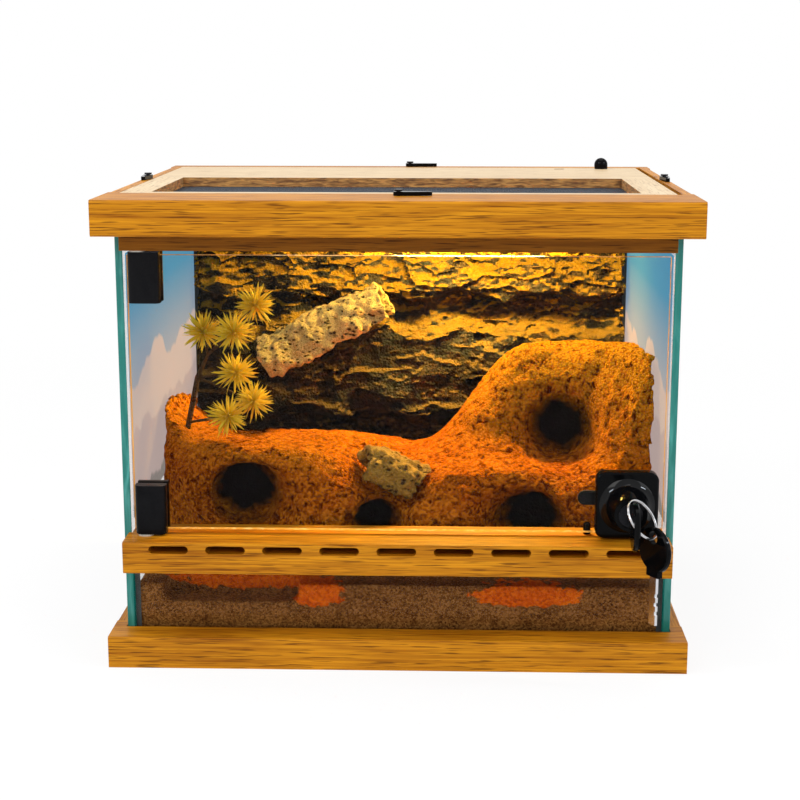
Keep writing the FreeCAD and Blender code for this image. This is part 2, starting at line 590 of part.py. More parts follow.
def key_pieces(name):
    """Bow and blade of a key whose shoulder is its own origin, with the bow along its X axis."""
    half = mm("bow_length") / 2
    middle = Vector(mm("key_neck_length") + half, 0, 0)
    major = Vector(middle.x, mm("bow_height") / 2, 0)
    oval = [Part.Ellipse(major, Vector(middle.x - half, 0, 0), middle)]
    disc = extruded(f"{name}_oval", oval, "bow_thickness", ("0", "0", "bow_thickness / -2"))
    soft = chamfered(f"{name}_oval_soft", disc, mm("bow_chamfer"), lambda edge: edge.isClosed())
    collar = box(f"{name}_collar", ("key_neck_length - key_collar_length / 2", "key_collar_height / -2",
                                    "bow_thickness / -2"),
                 ("key_neck_length + key_collar_length", "key_collar_height / 2", "bow_thickness / 2"))
    hole = cylinder(f"{name}_hole", "bow_hole_radius", "bow_thickness + 2 * overcut",
                    ("key_neck_length + bow_length - bow_hole_inset", "0", "bow_thickness / -2 - overcut"))
    bow = cut(f"{name}_bow", fuse(f"{name}_head", soft, collar), hole)
    shank = box(f"{name}_shank", ("-blade_length", "blade_height / -2", "blade_thickness / -2"),
                ("key_neck_length - key_collar_length / 2", "blade_height / 2", "blade_thickness / 2"))
    bits = []
    for step in range(round(mm("bit_count"))):
        start = f"-(bit_first + {step} * bit_pitch)"
        depth = f"(bit_depth + {step % 2} * bit_deepening)"
        bits.append(box(f"{name}_bit_{step}",
                        (f"{start} - bit_length", f"blade_height / 2 - {depth}", "-blade_thickness"),
                        (start, "blade_height", "blade_thickness")))
    blade = cut(f"{name}_blade", shank, *bits)
    return bow, blade


def build_keys():
    """Key in the lock, the ring through its bow and the spare key that hangs on the ring."""
    shoulder = Vector(mm("lock_x"), mm("plug_front"), mm("lock_z"))
    in_lock = Placement(shoulder, Rotation(Vector(0, -1, 0), Vector(0, 0, 1), Vector(-1, 0, 0), "XYZ"))
    for piece in key_pieces("key"):
        piece.Placement = in_lock
        keep(piece)

    hole_along = mm("key_neck_length") + mm("bow_length") - mm("bow_hole_inset")
    threaded = in_lock.multVec(Vector(hole_along, 0, 0))
    droop = math.radians(mm("ring_droop"))
    lean = math.radians(mm("ring_lean"))
    down_right = Vector(math.cos(droop), 0, -math.sin(droop))
    inward = Vector(math.sin(droop), 0, math.cos(droop)) * math.sin(lean) + Vector(0, math.cos(lean), 0)
    middle = threaded + inward * mm("ring_radius")
    outer = cylinder("ring_outer", "ring_radius + ring_wire / 2", "ring_wire * 2", ("0", "0", "-ring_wire"))
    seam_low = ("0", "0", "ring_seam_width / -2")
    seam = cylinder("ring_seam", "ring_radius + ring_wire", "ring_seam_width", seam_low)
    core = cylinder("ring_core", "ring_radius + ring_wire / 2 - ring_seam_depth", "ring_seam_width",
                    seam_low)
    inner = cylinder("ring_inner", "ring_radius - ring_wire / 2", "(ring_wire + overcut) * 2",
                     ("0", "0", "-ring_wire - overcut"))
    ring = cut("key_ring", outer, cut("ring_groove", seam, core), inner)
    ring.Placement = Placement(middle, Rotation(Vector(0, 0, 1), down_right.cross(inward)))
    keep(ring)

    turn = math.radians(mm("spare_key_turn"))
    face = Vector(math.cos(turn), math.sin(turn), 0)
    up = Vector(0, 0, 1)
    hang = middle + down_right * mm("ring_radius") - up * (mm("spare_key_drop") + hole_along)
    for piece in key_pieces("spare_key"):
        piece.Placement = Placement(hang, Rotation(up, face.cross(up), face, "XYZ"))
        keep(piece)


def button_spots():
    """Pivot formulas and resting turn of each turn button, by its name."""
    return {
        "front": ("0", "lid_front + lid_front_width - button_front_inset", 0),
        "rear": ("0", "lid_rear - lid_rear_width / 2", 0),
        "left": ("lid_left + lid_side_width / 2", "button_side_y", -90),
        "right": ("lid_right - lid_side_width / 2", "button_side_y", -90),
    }


def build_lid():
    """Four lid rails with the ledges that carry the panel, and the screws of the turn buttons."""
    well_low = ("lid_left + lid_side_width", "lid_front + lid_front_width", "panel_bottom")
    well_high = ("lid_right - lid_side_width", "lid_rear - lid_rear_width", "lid_top + overcut")
    front_inner = "lid_front + lid_front_width + lid_front_ledge"
    rear_inner = "lid_rear - lid_rear_width - lid_rear_ledge"
    spans = {
        "front": (("lid_left", "lid_front"), ("lid_right", front_inner)),
        "rear": (("lid_left", rear_inner), ("lid_right", "lid_rear")),
        "left": (("lid_left", front_inner), ("lid_left + lid_side_width + lid_side_ledge", rear_inner)),
        "right": (("lid_right - lid_side_width - lid_side_ledge", front_inner), ("lid_right", rear_inner)),
    }
    outer_edges = {
        "front": both(runs_along("x"), at_level("y", mm("lid_front"))),
        "rear": both(runs_along("x"), at_level("y", mm("lid_rear"))),
        "left": both(runs_along("y"), at_level("x", mm("lid_left"))),
        "right": both(runs_along("y"), at_level("x", mm("lid_right"))),
    }
    spots = button_spots()
    screws = []
    for side, (low, high) in spans.items():
        blank = box(f"lid_{side}_blank", (*low, "lid_bottom"), (*high, "lid_top"))
        soft = rounded(f"lid_{side}_soft", blank, mm("lid_round"), outer_edges[side])
        well = box(f"lid_{side}_well", well_low, well_high)
        x, y, _ = spots[side]
        hole = cylinder(f"lid_{side}_screw_hole", "button_screw_radius", "button_screw_bite + overcut",
                        (x, y, "lid_top - button_screw_bite"))
        keep(cut(f"lid_{side}_rail", soft, well, hole))
        shank = cylinder(f"{side}_button_shank", "button_screw_radius",
                         "button_screw_bite + button_lift * 2 + button_thickness",
                         (x, y, "lid_top - button_screw_bite"))
        head = cylinder(f"{side}_button_head", "button_head_radius", "button_head",
                        (x, y, "lid_top + button_lift * 2 + button_thickness"))
        screws.append(fuse(f"{side}_button_screw", shank, head))
    keep(group("button_screws", *screws))


def build_buttons():
    """Four turn buttons, all turned clear of the panel."""
    boss, tip, length = mm("button_boss_radius"), mm("button_tip_radius"), mm("button_length")
    slope = math.acos((boss - tip) / length)
    side = Vector(math.cos(slope), math.sin(slope), 0)
    mirrored = Vector(side.x, -side.y, 0)
    far = Vector(length, 0, 0)
    outline = [
        Part.Arc(side * boss, Vector(-boss, 0, 0), mirrored * boss),
        Part.LineSegment(mirrored * boss, far + mirrored * tip),
        Part.Arc(far + mirrored * tip, far + Vector(tip, 0, 0), far + side * tip),
        Part.LineSegment(far + side * tip, side * boss),
        Part.Circle(Vector(), Vector(0, 0, 1), mm("button_screw_radius") + mm("button_clearance")),
    ]
    for name, (x, y, angle) in button_spots().items():
        keep(extruded(f"{name}_turn_button", outline, "button_thickness", (x, y, "lid_top + button_lift"),
                      Rotation(Vector(0, 0, 1), angle)))


def build_panel():
    """Lift-out panel: board, stiles and front strip round the mesh, with the light and cable hood."""
    keep(
        box("panel_left_stile", ("panel_left", "panel_front", "panel_bottom"),
            ("mesh_left", "mesh_rear", "lid_top")),
        box("panel_right_stile", ("mesh_right", "panel_front", "panel_bottom"),
            ("panel_right", "mesh_rear", "lid_top")),
        box("panel_front_strip", ("mesh_left", "panel_front", "panel_bottom"),
            ("mesh_right", "mesh_front", "lid_top")),
    )
    board = box("panel_board_blank", ("panel_left", "mesh_rear", "panel_bottom"),
                ("panel_right", "panel_rear", "lid_top"))
    slot_rear = "panel_rear - cable_slot_inset"
    cable_slot = box("panel_cable_slot",
                     ("cable_slot_x - cable_slot_length / 2", f"{slot_rear} - cable_slot_width",
                      "panel_bottom - overcut"),
                     ("cable_slot_x + cable_slot_length / 2", slot_rear, "lid_top + overcut"))
    keep(cut("panel_rear_board", board, cable_slot))

    low = Vector(mm("mesh_left") - mm("mesh_lap"), mm("mesh_front") - mm("mesh_lap"), 0)
    high = Vector(mm("mesh_right") + mm("mesh_lap"), mm("mesh_rear") + mm("mesh_lap"), 0)
    columns, rows, strand = round(mm("mesh_columns")), round(mm("mesh_rows")), mm("mesh_strand")
    step_x = (mm("mesh_right") - mm("mesh_left") + strand) / columns
    step_y = (mm("mesh_rear") - mm("mesh_front") + strand) / rows
    gaps = []
    for column in range(columns):
        for line in range(rows):
            x = mm("mesh_left") + column * step_x
            y = mm("mesh_front") + line * step_y
            gap = Part.makePolygon([Vector(x, y, 0), Vector(x, y + step_y - strand, 0),
                                    Vector(x + step_x - strand, y + step_y - strand, 0),
                                    Vector(x + step_x - strand, y, 0), Vector(x, y, 0)])
            gaps.append(gap)
    border = Part.makePolygon([low, Vector(high.x, low.y, 0), high, Vector(low.x, high.y, 0), low])
    net = Part.Face([border, *gaps]).extrude(Vector(0, 0, mm("mesh_thickness")))
    keep(place(shaped("panel_mesh", net), ("0", "0", "panel_bottom - mesh_thickness")))

    skirt = cylinder("hood_skirt_part", "hood_radius", "hood_skirt", ("hood_x", "hood_y", "lid_top"))
    crown = doc.addObject("Part::Sphere", "hood_crown")
    crown.setExpression("Radius", bound("hood_radius"))
    crown.Angle1 = 0
    place(crown, ("hood_x", "hood_y", "lid_top + hood_skirt"))
    arch = cylinder("hood_arch", "hood_arch_radius", "hood_radius * 2",
                    ("hood_x - hood_radius * 2", "hood_y", "lid_top"), "x")
    keep(cut("cable_hood", fuse("hood_dome", skirt, crown), arch))

    housing = box("light_shell", ("light_length / -2", "light_front", "panel_bottom - light_depth"),
                  ("light_length / 2", "light_front + light_width", "panel_bottom"))
    inside = ("light_length / -2 + light_wall", "light_front + light_wall")
    far_side = ("light_length / 2 - light_wall", "light_front + light_width - light_wall",
                "panel_bottom - light_wall")
    channel = box("light_channel", (*inside, "panel_bottom - light_depth - overcut"), far_side)
    keep(cut("light_housing", housing, channel))
    lens = box("light_lens", (*inside, "panel_bottom - light_depth - light_lip"), far_side)
    lens_low = at_level("z", mm("panel_bottom") - mm("light_depth") - mm("light_lip"))
    keep(rounded("light_diffuser", lens, mm("light_round"), both(runs_along("x"), lens_low)))


def skin(sections):
    """Solid of flat faces through cross-sections with as many corners each."""
    faces = [Part.Face(Part.makePolygon([*end, end[0]])) for end in (sections[0], sections[-1])]
    for near, far in zip(sections, sections[1:]):
        for index, corner in enumerate(near):
            before = index - 1
            faces.append(Part.Face(Part.makePolygon([near[before], corner, far[index], near[before]])))
            faces.append(Part.Face(Part.makePolygon([near[before], far[index], far[before], near[before]])))
    solid = Part.makeSolid(Part.makeShell(faces))
    if solid.Volume < 0:
        solid.reverse()
    return solid


def across(x):
    """Place across the tank, from -0.5 at the left wall to 0.5 at the right."""
    return x / (mm("inner_right") - mm("inner_left"))


def swell(x, name):
    """Share of a rise or a dip that is at a place across the tank."""
    return math.exp(-((across(x) - mm(f"{name}_at")) / mm(f"{name}_spread")) ** 2)


def rising(place, start, end):
    """Share that grows softly from nothing at one place to all at another."""
    share = min(max((place - start) / (end - start), 0.0), 1.0)
    return share * share * (3 - 2 * share)


def mound_toe(x):
    """Front edge of the clay, which is rounded back at the left wall."""
    left = mm("inner_left") + mm("film_thickness") + mm("scenery_gap")
    corner = max(0.0, 1 - (x - left) / mm("mound_corner_run")) ** 2
    return mm("inner_front") + mm("mound_front") + mm("mound_corner") * corner


def mound_height(x, y):
    """Height of the clay over the bed: two steep banks with a gap, and a hill behind on the right."""
    inside = mm("inner_rear") - mm("inner_front")
    behind = max(y - mound_toe(x), 0.0)
    share = mm("mound_toe_share")
    front = share + (1 - share) * (behind / mm("mound_run_share") / inside) ** mm("mound_curve")
    fall = 1 - mm("mound_fall_share") * (behind / inside) ** 2
    bank = mm("mound_rise") + mm("mound_corner_rise") * swell(x, "mound_corner")
    gap_left = mm("mound_gap_at") - mm("mound_gap_spread")
    gap_right = mm("mound_gap_at") + mm("mound_gap_spread")
    bank += mm("mound_left_rise") * rising(across(x), gap_right, gap_left)
    bank -= mm("mound_gap_drop") * swell(x, "mound_gap") * rising(behind, mm("mound_gap_run"), 0)
    pillar = swell(x, "mound_pillar")
    start = mm("mound_hill_setback") - mm("mound_pillar_lead") * pillar
    run = mm("mound_hill_run") * (1 - mm("mound_pillar_steepness") * pillar)
    hill_left = mm("mound_right_at") - mm("mound_right_spread")
    hill_right = mm("mound_right_at") + mm("mound_right_spread")
    hill = mm("mound_right_rise") * rising(across(x), hill_left, hill_right)
    return bank * min(1.0, front) * fall + hill * rising(behind, start, start + run)


def mound_shape():
    """Clay mound skinned from side to side through cross-sections."""
    back = mm("inner_rear") - mm("rock_depth") - mm("mound_back_gap")
    low = mm("bed_top")
    left = mm("inner_left") + mm("film_thickness") + mm("scenery_gap")
    width = -2 * left
    stations, steps = round(mm("mound_stations")), round(mm("mound_steps"))
    shares = [(step / steps) ** mm("mound_step_growth") for step in range(steps + 1)]
    sections = []
    for station in range(stations):
        x = left + width * station / (stations - 1)
        toe = mound_toe(x)
        depths = [toe + (back - toe) * share for share in shares]
        crest = [Vector(x, y, low + mound_height(x, y)) for y in depths]
        sections.append([*crest, Vector(x, back, low), Vector(x, toe, low)])
    return skin(sections)


def rock_shape():
    """Layered rock wall skinned from side to side, with ledges that drift up and down."""
    back = mm("inner_rear") - mm("seam_leg") - mm("scenery_gap")
    face = mm("inner_rear") - mm("rock_depth")
    low, height, relief = mm("bed_top"), mm("rock_height"), mm("rock_relief")
    left = mm("inner_left") + mm("seam_leg") + mm("scenery_gap")
    width = -2 * left
    stations = round(mm("rock_stations"))
    sections = []
    for station in range(stations):
        x = left + width * station / (stations - 1)
        front = []
        for level, depth in ROCK_PROFILE:
            drift = mm("rock_drift") * math.sin(LEVEL_PHASES[0] * station + LEVEL_PHASES[1] * level)
            ripple = mm("rock_ripple") * math.sin(DEPTH_PHASES[0] * station + DEPTH_PHASES[1] * level)
            rise = level + drift * level * (1 - level)
            set_back = depth + (mm("rock_ripple") + ripple) / 2
            front.append(Vector(x, face + relief * set_back, low + height * rise))
        sections.append([*front, Vector(x, back, low + height), Vector(x, back, low)])
    return skin(sections)


def half_pipe(radius, wall, length):
    """Split tube along its own X axis, open below, centred on its middle."""
    over = mm("overcut")
    along = Vector(1, 0, 0)
    arc = mm("bark_arc")
    outer = Part.makeCylinder(radius, length, Vector(-length / 2, 0, 0), along, arc)
    inner = Part.makeCylinder(radius - wall, length + 2 * over, Vector(-length / 2 - over, 0, 0), along)
    outer.rotate(Vector(), along, -arc / 2)
    return outer.cut(inner)


def tuft_shape():
    """Spiky tuft about its own origin: a pointed leaf on each face of a twenty-sided heart."""
    corners = []
    for near in (-1, 1):
        for far in (-GOLDEN_RATIO, GOLDEN_RATIO):
            corners += [Vector(0, near, far), Vector(near, far, 0), Vector(far, 0, near)]
    heart = [corner.normalize() * mm("tuft_core") for corner in corners]
    side = min((heart[0] - other).Length for other in heart[1:])
    sides = []
    for trio in itertools.combinations(heart, 3):
        if all((a - b).Length < side + TOLERANCE for a, b in itertools.combinations(trio, 2)):
            tip = (trio[0] + trio[1] + trio[2]).normalize() * mm("tuft_reach")
            for a, b in itertools.combinations(trio, 2):
                sides.append(Part.Face(Part.makePolygon([a, b, tip, a])))
    solid = Part.makeSolid(Part.makeShell(sides))
    if solid.Volume < 0:
        solid.reverse()
    return solid


def tapered(start, end, radii):
    """Six-sided taper between two points."""
    turn = Rotation(Vector(0, 0, 1), end - start)
    rings = []
    for point, radius in zip((start, end), radii):
        spokes = [Vector(radius * math.cos(a), radius * math.sin(a), 0) for a in HEXAGON]
        corners = [point + turn.multVec(spoke) for spoke in spokes]
        rings.append(Part.makePolygon(corners + corners[:1]))
    return Part.makeLoft(rings, True, True)


def plant_shapes():
    """Leaning stem with its twigs, rooted under the clay's surface, and the tufts on the twigs."""
    x = mm("plant_x")
    y = mm("inner_front") + mm("mound_front") + mm("plant_setback")
    foot = Vector(x, y, mm("bed_top") + mound_height(x, y))
    thick, thin = mm("stem_radius"), mm("twig_radius")
    joints = {name: foot + joint for name, joint in STEM.items()}
    root = foot - (joints["fork"] - foot).normalize() * mm("plant_root")
    stem = tapered(root, joints["fork"], (thick, thick))
    stem = stem.fuse(tapered(joints["fork"], joints["elbow"], (thick, thin)))
    stem = stem.fuse(tapered(joints["elbow"], joints["tip"], (thin, thin)))
    model = tuft_shape()
    tufts = []
    for spot, start in TUFTS:
        middle = foot + spot
        if (middle - joints[start]).Length > mm("tuft_core"):
            stem = stem.fuse(tapered(joints[start], middle, (thin, thin)))
        tuft = model.copy()
        tuft.translate(middle)
        tufts.append(tuft)
    leaves = Part.makeCompound(tufts)
    return stem.cut(leaves), leaves


def build_scenery():
    """Soil bed, clay mound with burrows, rock wall, two pieces of cork bark and a plant."""
    edge = "(seam_leg + film_thickness + scenery_gap)"
    bed_front = "inner_front + seam_leg + scenery_gap"
    bed = box("bed_blank", (f"inner_left + {edge}", bed_front, "floor_top"),
              (f"inner_right - {edge}", "inner_rear - seam_leg - scenery_gap", "bed_top"))
    hollow = box("bed_hollow", (f"inner_left + {edge} + hollow_side", f"{bed_front} - overcut",
                                "bed_top - hollow_depth"),
                 (f"inner_left + {edge} + hollow_side + hollow_length", "inner_front + mound_front",
                  "bed_top + overcut"))
    keep(cut("substrate_bed", bed, hollow))

    clay = mound_shape()
    toe = mm("inner_front") + mm("mound_front")
    for name, way in BURROWS.items():
        mouth = Vector(mm(f"{name}_x"), toe + mm(f"{name}_setback"), mm("bed_top") + mm(f"{name}_rise"))
        clay = clay.cut(Part.makeCylinder(mm(f"{name}_radius"), mm("burrow_depth"), mouth, way))
    stem, leaves = plant_shapes()
    clay = clay.cut(stem)
    rock = rock_shape()
    keep(shaped("clay_mound", clay), shaped("rock_wall", rock))
    keep(shaped("plant_stem", stem), shaped("plant_leaves", leaves))

    bark = half_pipe(mm("bark_radius"), mm("bark_wall"), mm("bark_length"))
    bark.Placement = Placement(
        Vector(mm("bark_x"), mm("inner_rear") - mm("rock_depth") - mm("bark_wall_gap"),
               mm("bed_top") + mm("bark_level")),
        Rotation(0, -mm("bark_slope"), 0))
    keep(shaped("cork_bark", bark.cut(clay).cut(rock)))

    chip = half_pipe(mm("chip_radius"), mm("bark_wall"), mm("chip_length"))
    spot = Vector(mm("chip_x"), toe + mm("chip_setback"), 0)
    spot.z = mm("bed_top") + mound_height(spot.x, spot.y) + mm("chip_lift")
    chip.Placement = Placement(spot, Rotation(mm("chip_turn"), -mm("chip_slope"), 0))
    keep(shaped("cork_chip", chip.cut(clay)))


builders = (build_base, build_glass, build_rail_and_header, build_door, build_lock, build_keys, build_lid,
            build_buttons, build_panel, build_scenery)
for builder in builders:
    builder()
doc.recompute()

for item in doc.Objects:
    if "Invalid" in item.State or "Error" in item.State:
        raise RuntimeError(f"{item.Label} failed: {item.State}")
for piece in pieces:
    if piece.Shape.isNull() or not piece.Shape.isValid():
        raise RuntimeError(f"{piece.Label} has no valid shape")

os.makedirs("parts", exist_ok=True)
for piece in pieces:
    piece.Shape.exportStep(f"parts/{piece.Label}.step")
print(len(pieces), "pieces,", sum(len(piece.Shape.Solids) for piece in pieces), "solids")
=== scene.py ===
"""Glass reptile tank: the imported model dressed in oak, glass, steel and clay, with its fine pieces added."""

import logging
import math
import random
from collections.abc import Callable
from dataclasses import dataclass
from enum import Enum

import bpy
from mathutils import Matrix, Vector


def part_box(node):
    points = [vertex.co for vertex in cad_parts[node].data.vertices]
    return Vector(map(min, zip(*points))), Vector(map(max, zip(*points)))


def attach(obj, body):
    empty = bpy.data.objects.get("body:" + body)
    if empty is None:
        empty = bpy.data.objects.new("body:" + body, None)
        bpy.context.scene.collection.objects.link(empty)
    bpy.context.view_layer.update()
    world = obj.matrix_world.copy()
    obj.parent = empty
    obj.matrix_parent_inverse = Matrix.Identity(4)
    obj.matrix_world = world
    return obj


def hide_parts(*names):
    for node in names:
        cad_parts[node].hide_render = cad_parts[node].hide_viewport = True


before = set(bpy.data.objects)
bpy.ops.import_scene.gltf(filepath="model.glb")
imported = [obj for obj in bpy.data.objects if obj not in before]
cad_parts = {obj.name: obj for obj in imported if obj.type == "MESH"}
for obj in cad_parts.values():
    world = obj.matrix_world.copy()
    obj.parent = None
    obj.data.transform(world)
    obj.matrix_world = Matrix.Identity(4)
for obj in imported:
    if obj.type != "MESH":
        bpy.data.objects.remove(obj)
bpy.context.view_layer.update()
log = logging.getLogger("reptile_tank")
materials: dict[str, bpy.types.Material] = {}

Colour = tuple[float, float, float]
Point = tuple[float, float, float]
Tones = tuple[Colour, Colour, Colour]
Burrow = tuple[Point, Point, float]
Socket = bpy.types.NodeSocket
Sockets = bpy.types.bpy_prop_collection
Piece = bpy.types.Object

MM = 0.001
WELD = 0.01 * MM
MERGE = 0.001 * MM
SHARP = math.radians(40)


class Grain(Enum):
    """Way that the fibres of a wooden piece run."""

    ALONG_X = (0.0, 0.0, 0.0)
    ALONG_Y = (0.0, 0.0, math.pi / 2)


class Thin(Enum):
    """Axis that a pane is thin along."""

    X = 0
    Y = 1
    Z = 2


class Kind(Enum):
    """Kind of a shared effect's input or output."""

    VECTOR = "NodeSocketVector"
    COLOUR = "NodeSocketColor"
    NUMBER = "NodeSocketFloat"


def clear_selection() -> None:
    """Go to object mode with nothing selected."""
    active = bpy.context.view_layer.objects.active
    if active and active.mode != "OBJECT":
        bpy.ops.object.mode_set(mode="OBJECT")
    bpy.ops.object.select_all(action="DESELECT")


def activate(piece: Piece) -> None:
    """Make one piece the only selected one, and the active one.

    Args:
        piece: The piece.
    """
    clear_selection()
    piece.select_set(True)
    bpy.context.view_layer.objects.active = piece


def edit(piece: Piece) -> None:
    """Open a piece in edit mode with all of it selected.

    Args:
        piece: The piece.
    """
    activate(piece)
    bpy.ops.object.mode_set(mode="EDIT")
    bpy.ops.mesh.select_all(action="SELECT")


def close_edit() -> None:
    """Go back to object mode."""
    bpy.ops.object.mode_set(mode="OBJECT")


def face_out() -> None:
    """Turn all faces of the open piece outwards and go back to object mode."""
    bpy.ops.mesh.select_all(action="SELECT")
    bpy.ops.mesh.normals_make_consistent(inside=False)
    close_edit()


def stretch(piece: Piece, across: float, up: float) -> None:
    """Scale a piece's mesh about the origin.

    Args:
        piece: The piece.
        across: Factor along X and Y.
        up: Factor along Z.
    """
    edit(piece)
    bpy.ops.transform.resize(value=(across, across, up), center_override=(0, 0, 0))
    close_edit()


def named(name: str) -> Piece:
    """Name the object that an operator has just added.

    Args:
        name: Name for the object and its mesh.

    Returns:
        The object.
    """
    piece = bpy.context.view_layer.objects.active
    piece.name = name
    piece.data.name = name
    return piece


def pick_faces(piece: Piece, test: Callable[[bpy.types.MeshPolygon], bool]) -> None:
    """Open a piece in edit mode with the faces selected that a test picks.

    Args:
        piece: Mesh object.
        test: Says whether a face is picked.
    """
    activate(piece)
    bpy.ops.object.mode_set(mode="EDIT")
    bpy.ops.mesh.select_mode(type="FACE")
    bpy.ops.mesh.select_all(action="DESELECT")
    close_edit()
    for face in piece.data.polygons:
        face.select = test(face)
    bpy.ops.object.mode_set(mode="EDIT")


def apply_modifier(piece: Piece, kind: str, **settings: object) -> None:
    """Add one modifier to a piece and apply it.

    Args:
        piece: Mesh object.
        kind: Type of the modifier.
        settings: Values of the modifier's properties.
    """
    modifier = piece.modifiers.new(kind.lower(), kind)
    for key, value in settings.items():
        setattr(modifier, key, value)
    activate(piece)
    bpy.ops.object.modifier_apply(modifier=modifier.name)


def cast(node: str, name: str) -> Piece:
    """Copy a CAD node's mesh into a new piece with its corners merged.

    Args:
        node: Name of the CAD node.
        name: Name of the new piece.

    Returns:
        The new piece, without materials.
    """
    piece = bpy.data.objects.new(name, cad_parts[node].data.copy())
    piece.data.name = name
    piece.data.materials.clear()
    bpy.context.scene.collection.objects.link(piece)
    edit(piece)
    bpy.ops.mesh.remove_doubles(threshold=WELD)
    bpy.ops.mesh.customdata_custom_splitnormals_clear()
    bpy.ops.mesh.faces_shade_flat()
    close_edit()
    return piece


def smooth(piece: Piece) -> None:
    """Shade a piece smooth all over."""
    activate(piece)
    bpy.ops.object.shade_smooth()


def smooth_between_edges(piece: Piece) -> None:
    """Shade a piece smooth, apart from its sharp edges."""
    activate(piece)
    bpy.ops.object.shade_smooth_by_angle(angle=SHARP)


def even_mesh(piece: Piece, voxel: float, rounds: int) -> None:
    """Give a piece faces of one size, and soften its facets in so many rounds."""
    apply_modifier(piece, "REMESH", mode="VOXEL", voxel_size=voxel)
    apply_modifier(piece, "SMOOTH", factor=0.5, iterations=rounds)


def body_of(node: str, name: str, voxel: float, rounds: int) -> Piece:
    """Cast a solid into an even mesh with softened facets.

    Args:
        node: CAD node.
        name: Name of the piece.
        voxel: Size of the even mesh's faces.
        rounds: Count of smoothing steps.

    Returns:
        The piece.
    """
    piece = cast(node, name)
    even_mesh(piece, voxel, rounds)
    return piece


def join(pieces: list[Piece], name: str) -> Piece:
    """Join pieces into the first one.

    Args:
        pieces: Mesh objects.
        name: Name of the joined piece.

    Returns:
        The joined piece.
    """
    activate(pieces[0])
    for piece in pieces[1:]:
        piece.select_set(True)
    bpy.ops.object.join()
    return named(name)


def twin(piece: Piece) -> Piece:
    """Copy a piece together with its mesh.

    Args:
        piece: The piece.

    Returns:
        The copy.
    """
    copy = piece.copy()
    copy.data = piece.data.copy()
    bpy.context.scene.collection.objects.link(copy)
    return copy


def settle(piece: Piece) -> None:
    """Put a piece's place, turn and scale into its mesh."""
    activate(piece)
    bpy.ops.object.transform_apply(location=True, rotation=True, scale=True)


def finish_piece(piece: Piece, body: str, nodes: tuple[str, ...], slot: str, *finishes: "Finish") -> None:
    """Dress a piece, hang it on its body and let it stand for CAD nodes.

    Args:
        piece: Finished mesh object.
        body: Body that it moves with.
        nodes: CAD nodes that it replaces.
        slot: Name of a material slot; not used.
        finishes: Finishes of its material slots, in order.
    """
    while len(piece.data.materials) < len(finishes):
        piece.data.materials.append(None)
    for index, finish in enumerate(finishes):
        piece.data.materials[index] = finish.material()
    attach(piece, body)
    if nodes:
        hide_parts(*nodes)
    log.info("%s: %d faces on %s", piece.name, len(piece.data.polygons), body)


def dress(finish: "Finish", *nodes: str) -> None:
    """Give CAD nodes one finish.

    Args:
        finish: The finish.
        nodes: Names of the nodes.
    """
    for node in nodes:
        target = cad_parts[node]
        if not target.material_slots:
            raise ValueError(f"{node} has no material slot")
        for slot in target.material_slots:
            slot.material = finish.material()
        log.info("%s: %s", node, finish.name)


